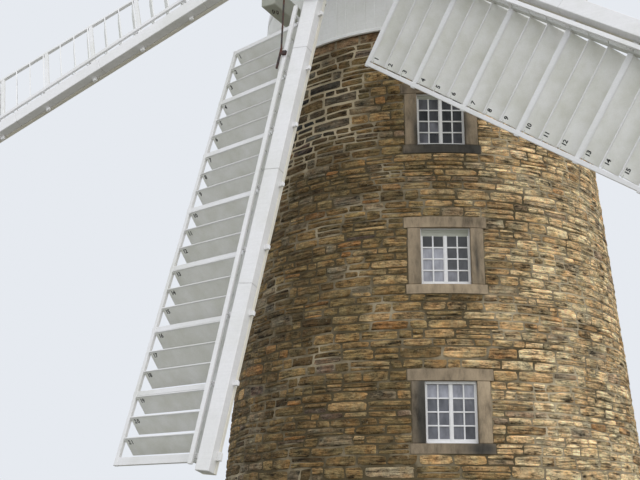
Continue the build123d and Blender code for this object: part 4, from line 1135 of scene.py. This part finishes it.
def shutter_bar_place(along):
    """Its trailing edge and its front, which shift evenly by its lean and its drop."""
    part = (np.asarray(along) - HEEL_BAR) / (BAYS * BAY)
    return SHUTTER_BAR_LEAN * part - SHUTTER_BAR_TRAIL, SHUTTER_BAR_FRONT - SHUTTER_BAR_DROP * part


def shutter_bar():
    """The long bar in front of the shutters, its guides, which stand up from the bars, and a cleat at every
    bar across the gap to the whip."""
    ends = (SHUTTER_BAR_START, SHUTTER_BAR_TIP)
    low, front = shutter_bar_place(ends)
    parts = [timber(ends, low, low + SHUTTER_BAR_WIDTH, front - SHUTTER_BAR_DEPTH, front, 4.0)]
    for along in bar_places()[0]:
        low, front = shutter_bar_place(along)
        foot = low * math.sin(weather(along)) - BAR_SET_BACK
        middle = front - SHUTTER_BAR_DEPTH / 2
        parts.append(block((along - 16, along + 16), (low + 14, low + 46), (foot, middle), 3.0))
        face = uplong_middle(along) + UPLONG_DEPTH / 2
        parts.append(block((along - 32, along + 32), (low + 16, -WHIP_TRAIL - 1), (face - 6, face + 20), 4.0))
    return parts


def sail_timbers():
    """Every white timber of one sail but the whip."""
    return [hem()] + [bar(along, wide) for along, wide in zip(*bar_places())] + shutter_bar()


def shutter_places():
    """Where each shutter's pivot is along the whip."""
    firsts = HEEL_BAR + FIRST_PIVOT + BAY * np.arange(BAYS)[:, None]
    return (firsts + SHUTTER_PITCH * np.arange(SHUTTERS_PER_BAY)).ravel()


def opened(rings, along, angle):
    """Shutters lie in the bars' plane and open about their pivot: x turns towards the back by the angle."""
    c, s = math.cos(angle), math.sin(angle)
    x, z = rings[..., 0], rings[..., 2]
    return at_bar(stacked(x * c + z * s, rings[..., 1], z * c - x * s), along)


def shutter_battens():
    """The frame of a shutter before it opens: two long edges, two ends and two ribs behind the canvas."""
    low, high = SHUTTER_LOW, SHUTTER_HIGH
    parts = [crosswise(timber((low, high), -10.0, 9.0, -SHUTTER_LEAD, 22.0 - SHUTTER_LEAD, 3.0)),
             crosswise(timber((low, high), -7.0, 5.0, SHUTTER_TRAIL - 22.0, SHUTTER_TRAIL, 3.0))]
    for place in (low, high - 40.0, low + 420.0, low + 840.0):
        parts.append(timber((-22.0, SHUTTER_TRAIL - 21.0), place, place + 40.0, -8.0, -2.5, 1.5))
    return parts


def shutter_canvas(rng, count):
    """Canvas over the frame: its height is a bow, nothing at the edges, a few millimetres in the middle."""
    y = np.linspace(SHUTTER_LOW + 4, SHUTTER_HIGH - 4, 13)
    x = np.linspace(21.0 - SHUTTER_LEAD, SHUTTER_TRAIL - 6.0, 7)
    u, v = np.linspace(0, 1, len(y))[:, None], np.linspace(0, 1, len(x))
    bow = rng.uniform(-3.0, 3.0, (count, 1, 1))
    lean = rng.uniform(-0.6, 0.6, (count, 1, 1))
    swell = rng.uniform(0.2, 1.0, (count, 1, 1))
    turns = rng.uniform(1.5, 3.5, (count, 1, 1)) * u + v + rng.random((count, 1, 1))
    ripple = swell * np.sin(2 * np.pi * turns)
    wave = np.sin(np.pi * u) * np.sin(np.pi * v) * (1 + lean * (u - 0.5))
    top = 5.5 + (bow + ripple) * wave
    lower = top - 3.0
    shape = (count, len(y), len(x))
    across = np.concatenate([np.broadcast_to(lower, shape), np.broadcast_to(top, shape)[..., ::-1]], -1)
    along = np.concatenate([np.broadcast_to(x, shape), np.broadcast_to(x[::-1], shape)], -1)
    ahead = np.broadcast_to(y[:, None], along.shape)
    return stacked(along, ahead, across)[..., ::-1, :]


class WINDMILL_OT_sails(Operator):
    """Frame the six sails: whips, bars, hems, uplongs and shutter bars, with the twist they are built with"""
    bl_idname = "windmill.sails"
    bl_label = "Sail frames"

    def execute(self, context):
        fronts, backs, inner = [], [], []
        for k in range(SAILS):
            inner.append(at_sail(uplong(), k))
            fronts += [at_sail(part, k) for part in whip_lengths()]
            backs.append(at_sail(whip_part((WHIP_START, WHIP_TIP), 0.0, 0.30, 1.5, 5.0), k))
            own = joined([at_sail(part, k) for part in sail_timbers()])
            make_piece(f"sail_{k + 1}_timbers", own, "rotor", WHITE, (f"sail_{k + 1}_frame",))
        make_piece("whip_timbers", joined(fronts), "rotor", WHITE, ("whips",))
        # The backs of the whips are painted cream, a little yellower than the fronts.
        make_piece("whip_backings", joined(backs), "rotor", "cream_painted_softwood")
        # The uplongs' grey paint is painted shade, where they lie in the gap behind the whip and the shutter
        # bar.
        make_piece("uplongs", joined(inner), "rotor", GREY)
        return {"FINISHED"}


class WINDMILL_OT_shutters(Operator):
    """Hang the shutters: battens, canvas and a number painted on each"""
    bl_idname = "windmill.shutters"
    bl_label = "Shutters"

    def execute(self, context):
        rng = np.random.default_rng(8)
        places, angle = shutter_places(), context.scene.windmill.shutter_open
        pivots = places[:, None, None]
        glyphs, numbers = digit_outlines(), []
        for k in range(SAILS):
            battens = [at_sail(opened(batten, pivots, angle), k) for batten in shutter_battens()]
            make_piece(f"sail_{k + 1}_battens", joined(battens), "rotor", WHITE)
            canvas = at_sail(opened(shutter_canvas(rng, len(places)), pivots, angle), k)
            make_piece(f"sail_{k + 1}_canvas", carried(canvas), "rotor", "painted_canvas",
                       (f"sail_{k + 1}_shutters",), 50)
            for n, along in enumerate(places):
                numbers += painted_number(glyphs, n + 1, along, angle, k)
        make_piece("shutter_numbers", together(numbers), "rotor", "black_sign_paint")
        return {"FINISHED"}


def digit_outlines():
    """The ten digits as flat triangles 1 unit high, and how wide each is."""
    found = []
    for digit in "0123456789":
        curve = bpy.data.curves.new("digit", "FONT")
        curve.body = digit
        curve.resolution_u = 2
        curve.offset = 0.034
        text = placed("digit", curve)
        bpy.context.view_layer.update()
        mesh = bpy.data.meshes.new_from_object(text.evaluated_get(bpy.context.evaluated_depsgraph_get()))
        mesh.calc_loop_triangles()
        points = np.zeros(len(mesh.vertices) * 3)
        mesh.vertices.foreach_get("co", points)
        triangles = np.zeros(len(mesh.loop_triangles) * 3, int)
        mesh.loop_triangles.foreach_get("vertices", triangles)
        found.append((points.reshape(-1, 3), triangles.reshape(-1, 3)))
        bpy.data.objects.remove(text)
        bpy.data.meshes.remove(mesh)
        bpy.data.curves.remove(curve)
    return found


def painted_number(glyphs, number, along, angle, k, height=84.0):
    """A number near a shutter's outer end, read along the shutter, as flat shapes just over the canvas."""
    made, pen = [], SHUTTER_LOW + 46.0
    for digit in str(number):
        points, triangles = glyphs[int(digit)]
        flat = stacked(52.0 - points[:, 1] * height, pen + points[:, 0] * height, 6.8)
        made.append((at_sail(opened(flat, along, angle), k), triangles))
        pen += (points[:, 0].max() + 0.12) * height
    return made


# Ironwork

def on_shaft(rings):
    """From the windshaft's frame, z to the front along it, to its place."""
    across, front = np.array((1.0, 0.0, 0.0)), shaft_axes(0.0)[2]
    return HUB + rings @ np.array([across, np.cross(front, across), front])


def cross_arm():
    """A flanged casting: a tapered plate on the whip's front, a flange down its leading side, a rib along the
    plate and round bolt heads through the whip."""
    ends = (ARM_START + 2.0, ARM_END)
    back, side = WHIP_FRONT + 0.3, WHIP_LEAD + 0.3
    parts = [timber(ends, -WHIP_TRAIL, (150.0, side + 26.0), back, back + 60.0, 9.0),
             timber(ends, side, side + 26.0, back - 70.0, back + 60.0, 6.0),
             timber(ends, -60.0, (20.0, 5.0), back + 50.0, (back + 150.0, back + 70.0), 9.0)]
    head = turned([(30, 104), (30, 110), (24, 112), (24, 124), (15, 130)], 6)
    nut = turned([(24, -214), (30, -206), (30, -196), (34, -186), (34, -60)], 6)
    for along in ARM_BOLTS:
        for ahead in (-105.0, 54.0):
            parts += [solid + np.array((along, ahead, 0.0)) for solid in (head, nut)]
    return joined(parts)


class WINDMILL_OT_ironwork(Operator):
    """Cast the cross, paint the windshaft, spider and striking gear, and link every shutter to its bar"""
    bl_idname = "windmill.ironwork"
    bl_label = "Ironwork"

    def execute(self, context):
        boss = turned([(300, -288), (392, -284), (400, -274), (400, -196), (372, -176), (366, 30), (372, 96),
                       (400, 108), (400, 138), (390, 149), (250, 150), (236, 146)], 48)
        points, faces = cross_arm()
        parts = [carried(on_shaft(boss))] + [(at_sail(points, k), faces) for k in range(SAILS)]
        make_piece("iron_cross", together(parts), "rotor", IRON, ("sail_cross",), 35)
        dress_nodes(IRON, "windshaft", "spider", "striking_links")
        make_piece("shutter_links", self.links(context.scene.windmill.shutter_open), "rotor", GREY, (), 50)
        return {"FINISHED"}

    def links(self, angle):
        """Thin rods from the shutter bar back to the shutters, and pins at the shutters' outer ends."""
        edge = np.array((6.0 - SHUTTER_LEAD, SHUTTER_HIGH - 8.0, 6.0))
        pin = rod([(0.0, SHUTTER_LOW - 14.5, 0.0), (0.0, SHUTTER_LOW + 30.0, 0.0)], 8.0, 6)
        parts = []
        for place in shutter_places():
            foot = opened(edge, place, angle)
            low, front = shutter_bar_place(foot[0])
            start, bend = (foot[0], low + 12, front - SHUTTER_BAR_DEPTH + 4), (foot[0], low + 10, front - 90)
            parts += [rod(np.array([start, bend, foot]), 6.0, 6), opened(pin, place, angle)]
        return joined([at_sail(part, k) for part in parts for k in range(SAILS)])


# Floor, light and camera

class WINDMILL_OT_stage(Operator):
    """Lay a plain pale floor under an overcast light and set the camera low on the right of the sails"""
    bl_idname = "windmill.stage"
    bl_label = "Floor, light and camera"

    def execute(self, context):
        context.scene.view_settings.view_transform = "Standard"
        self.floor()
        self.sky(context.scene)
        self.lamp(context.scene.windmill.sun_strength)
        self.camera(context.scene)
        return {"FINISHED"}

    def floor(self):
        """A wide disc, level at the tower's foot; the camera sees it paler than it lights the mill."""
        turn, radius = np.linspace(0, 2 * np.pi, 96, endpoint=False), 90000.0
        ring = stacked(radius * np.cos(turn), radius * np.sin(turn), -1.0)
        mesh = bpy.data.meshes.new("floor")
        mesh.from_pydata((ring * 0.001).tolist(), [], [list(range(len(ring)))])
        coat = Coat("plain_floor")
        seen = coat.out("ShaderNodeLightPath", result="Is Camera Ray")
        mesh.materials.append(coat.done(coat.mixed(seen, shade("ground_colour"), shade("floor_colour")), 0.9))
        floor = placed("floor", mesh)

    def sky(self, scene):
        """Soft light from all round; the camera and reflections see a plain overcast sky."""
        scene.world = bpy.data.worlds.new("overcast")
        scene.world.use_nodes = True
        tree = scene.world.node_tree
        tree.nodes.clear()
        rays = add_node(tree, "ShaderNodeLightPath").outputs
        seen = rays["Is Camera Ray"]
        for ray in ("Is Glossy Ray", "Is Transmission Ray"):
            either = add_node(tree, "ShaderNodeMath", [(0, seen), (1, rays[ray])], operation="MAXIMUM")
            seen = either.outputs[0]
        links = [("Fac", seen)]
        sky_strength = scene.windmill.sky_strength
        for key, colour, strength in ((1, "light_colour", sky_strength), (2, "sky_colour", 1.0)):
            light = add_node(tree, "ShaderNodeBackground", [("Color", shade(colour)), ("Strength", strength)])
            links.append((key, light.outputs[0]))
        both = add_node(tree, "ShaderNodeMixShader", links)
        add_node(tree, "ShaderNodeOutputWorld", [("Surface", both.outputs[0])])

    def lamp(self, strength):
        """One very soft sun, high on the left of the camera, for the brighter part of the cloud."""
        light = bpy.data.lights.new("bright_cloud", "SUN")
        light.energy, light.angle, light.color = strength, math.radians(70), (1.0, 0.985, 0.96)
        placed("bright_cloud", light).rotation_euler = [math.radians(turn) for turn in (48, 14, 40)]

    def camera(self, scene):
        """Place from its azimuth, distance and height in metres; axes from its heading, pitch and roll."""
        around, turn, pitch, roll = [math.radians(angle) for angle in (21.588, 5.742, 15.959, 0.304)]
        distance, height, heading = 17.3155, 0.046, around + turn
        forward = np.array((-math.cos(pitch) * math.sin(heading), math.cos(pitch) * math.cos(heading),
                            math.sin(pitch)))
        right = np.array((math.cos(heading), math.sin(heading), 0.0))
        up = np.cross(right, forward)
        c, s = math.cos(roll), math.sin(roll)
        place = (distance * math.sin(around), -distance * math.cos(around), height)
        matrix = np.eye(4)
        matrix[:3] = np.stack([right * c + up * s, up * c - right * s, -forward, place], 1)
        data = bpy.data.cameras.new("low_view")
        data.lens, data.sensor_width, data.clip_end = 61.53, 36.0, 400.0
        scene.camera = placed("low_view", data)
        scene.camera.matrix_world = Matrix(matrix.tolist())


# Settings, panel and registration

def size_setting(name, description, default, low, high=1000.0):
    return FloatProperty(name=name, description=description + ", in mm", default=default, min=low, max=high)


def colour_setting(name, description, code):
    return FloatVectorProperty(name=name, description=description, subtype="COLOR", size=4, min=0.0, max=1.0,
                               default=linear(code))


class WindmillSettings(PropertyGroup):
    course_height: size_setting("Course height", "Mean height of a course of rubble", 122.0, 60.0, 300.0)
    stone_length: size_setting("Stone length", "Mean length of a stone", 345.0, 120.0, 900.0)
    joint_width: size_setting("Joint width", "Mean width of a mortar joint", 9.0, 3.0, 40.0)
    bed_wander: size_setting("Wander of the beds", "How far a bed strays up and down", 46.0, 0.0, 80.0)
    relief_low: size_setting("Least relief", "Of a stone over the mortar", 5.0, 0.0)
    relief_high: size_setting("Most relief", "Of a stone over the mortar", 19.0, 0.0)
    skirt_boards: IntProperty(name="Skirt boards", description="Upright boards round the cap", default=104,
                              min=24)
    shutter_open: FloatProperty(name="Shutter angle", description="How far the shutters are open",
                                subtype="ANGLE", default=math.radians(52.0), min=0.0, max=math.radians(90.0))
    sky_strength: FloatProperty(name="Sky light", description="Strength of the light from all round",
                                default=1.04, min=0.0)
    sun_strength: FloatProperty(name="Bright cloud", description="Strength of the soft sun", default=1.15,
                                min=0.0)
    mortar_pale: colour_setting("Pale mortar", "Clean lime mortar", "#c4b598")
    # Dark mortar: dirt and painted shade in the recessed joints.
    mortar_dark: colour_setting("Dark mortar", "Dirty mortar", "#5a503c")
    stone_soot: colour_setting("Sooty stone", "Darkest rubble", "#383735")
    stone_brown: colour_setting("Brown stone", "Dark brown rubble", "#5f5038")
    stone_tan: colour_setting("Tan stone", "Mid brown rubble", "#88734f")
    stone_ochre: colour_setting("Ochre stone", "Ochre rubble", "#b69a72")
    stone_straw: colour_setting("Straw stone", "Palest rubble", "#dcc49b")
    stone_rust: colour_setting("Rusty stone", "Iron-stained rubble", "#a87a4c")
    stone_grey: colour_setting("Grey stone", "Grey rubble", "#7c766a")
    stone_plum: colour_setting("Plum stone", "Purple-grey rubble", "#63575a")
    lichen: colour_setting("Lichen", "Pale specks on the rubble", "#a39a80")
    dressed_tan: colour_setting("Dressed stone", "Clean tooled stone", "#a5937a")
    dressed_soot: colour_setting("Stained dressed stone", "Tooled stone under soot and damp", "#45423c")
    dressed_head: colour_setting("Top course", "Smooth course under the skirt", "#8b745a")
    white: colour_setting("White paint", "Paint on the sails and the cap", "#e8e7e7")
    white_dirt: colour_setting("Dirt on white paint", "Patches of dirt", "#d4d4cc")
    # Cream: the backs of the whips are painted a little yellower than their white fronts.
    cream: colour_setting("Cream paint", "Older paint on the backs of the whips", "#ebe6d8")
    skirt_paint: colour_setting("Skirt paint", "Older white paint on the skirt", "#f4f4f2")
    skirt_dirt: colour_setting("Dirt on the skirt", "Patches of dirt", "#dedfd6")
    # Olive-grey painted shade with patches of dirt: on the sheers under the cap and the recessed window
    # heads.
    beam_paint: colour_setting("Beam paint", "Oldest paint, on the beams under the cap", "#b7b8ac")
    beam_dirt: colour_setting("Dirt on the beams", "Patches of dirt", "#8c8d79")
    # Grey paint: painted shade on the uplongs behind the shutters, and the paint of the shutter links.
    grey_paint: colour_setting("Grey paint", "Dull paint behind the shutters", "#cfd0cc")
    grey_dirt: colour_setting("Dirt on grey paint", "Patches of dirt", "#a9aa9a")
    canvas: colour_setting("Canvas", "Painted canvas of the shutters", "#f0f0ed")
    canvas_stain: colour_setting("Canvas stain", "Weather stains on the canvas", "#d6d6ca")
    iron: colour_setting("Dark iron", "Old dark paint on iron", "#241d1b")
    rust: colour_setting("Rust", "Rust through the paint", "#5a3222")
    room_dark: colour_setting("Dark room", "Behind the darkest panes", "#15191a")
    room_pale: colour_setting("Pale room", "Behind the palest panes", "#a2a3ac")
    door_paint: colour_setting("Door paint", "Paint on the door", "#3c5247")
    bare_wood: colour_setting("Bare wood", "Floor boards and inner beams", "#a58e6d")
    floor_colour: colour_setting("Floor", "Floor under the mill, as the camera sees it", "#c4c3bd")
    ground_colour: colour_setting("Ground", "Ground that throws light up at the mill", "#8b8a80")
    light_colour: colour_setting("Light", "Light of the sky on the mill", "#f4f8ff")
    sky_colour: colour_setting("Sky", "Sky behind the mill", "#e6eaf0")


OPERATORS = (WINDMILL_OT_masonry, WINDMILL_OT_dressed_stone, WINDMILL_OT_windows, WINDMILL_OT_inside,
             WINDMILL_OT_cap, WINDMILL_OT_fantail, WINDMILL_OT_sails, WINDMILL_OT_shutters,
             WINDMILL_OT_ironwork, WINDMILL_OT_stage)


class WINDMILL_PT_panel(Panel):
    """The mill's settings and the steps that build it"""
    bl_idname = "WINDMILL_PT_panel"
    bl_label = "Windmill"
    bl_space_type = "VIEW_3D"
    bl_region_type = "UI"
    bl_category = "Windmill"

    def draw(self, context):
        for key in WindmillSettings.__annotations__:
            self.layout.prop(context.scene.windmill, key)
        for operator in OPERATORS:
            self.layout.operator(operator.bl_idname)


CLASSES = (WindmillSettings, *OPERATORS, WINDMILL_PT_panel)


def register():
    for kind in CLASSES:
        bpy.utils.register_class(kind)
    bpy.types.Scene.windmill = PointerProperty(type=WindmillSettings)


def unregister():
    del bpy.types.Scene.windmill
    for kind in reversed(CLASSES):
        bpy.utils.unregister_class(kind)


def main():
    """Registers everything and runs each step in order."""
    register()
    for operator in OPERATORS:
        group, name = operator.bl_idname.split(".")
        getattr(getattr(bpy.ops, group), name)()


if __name__ == "__main__":
    main()
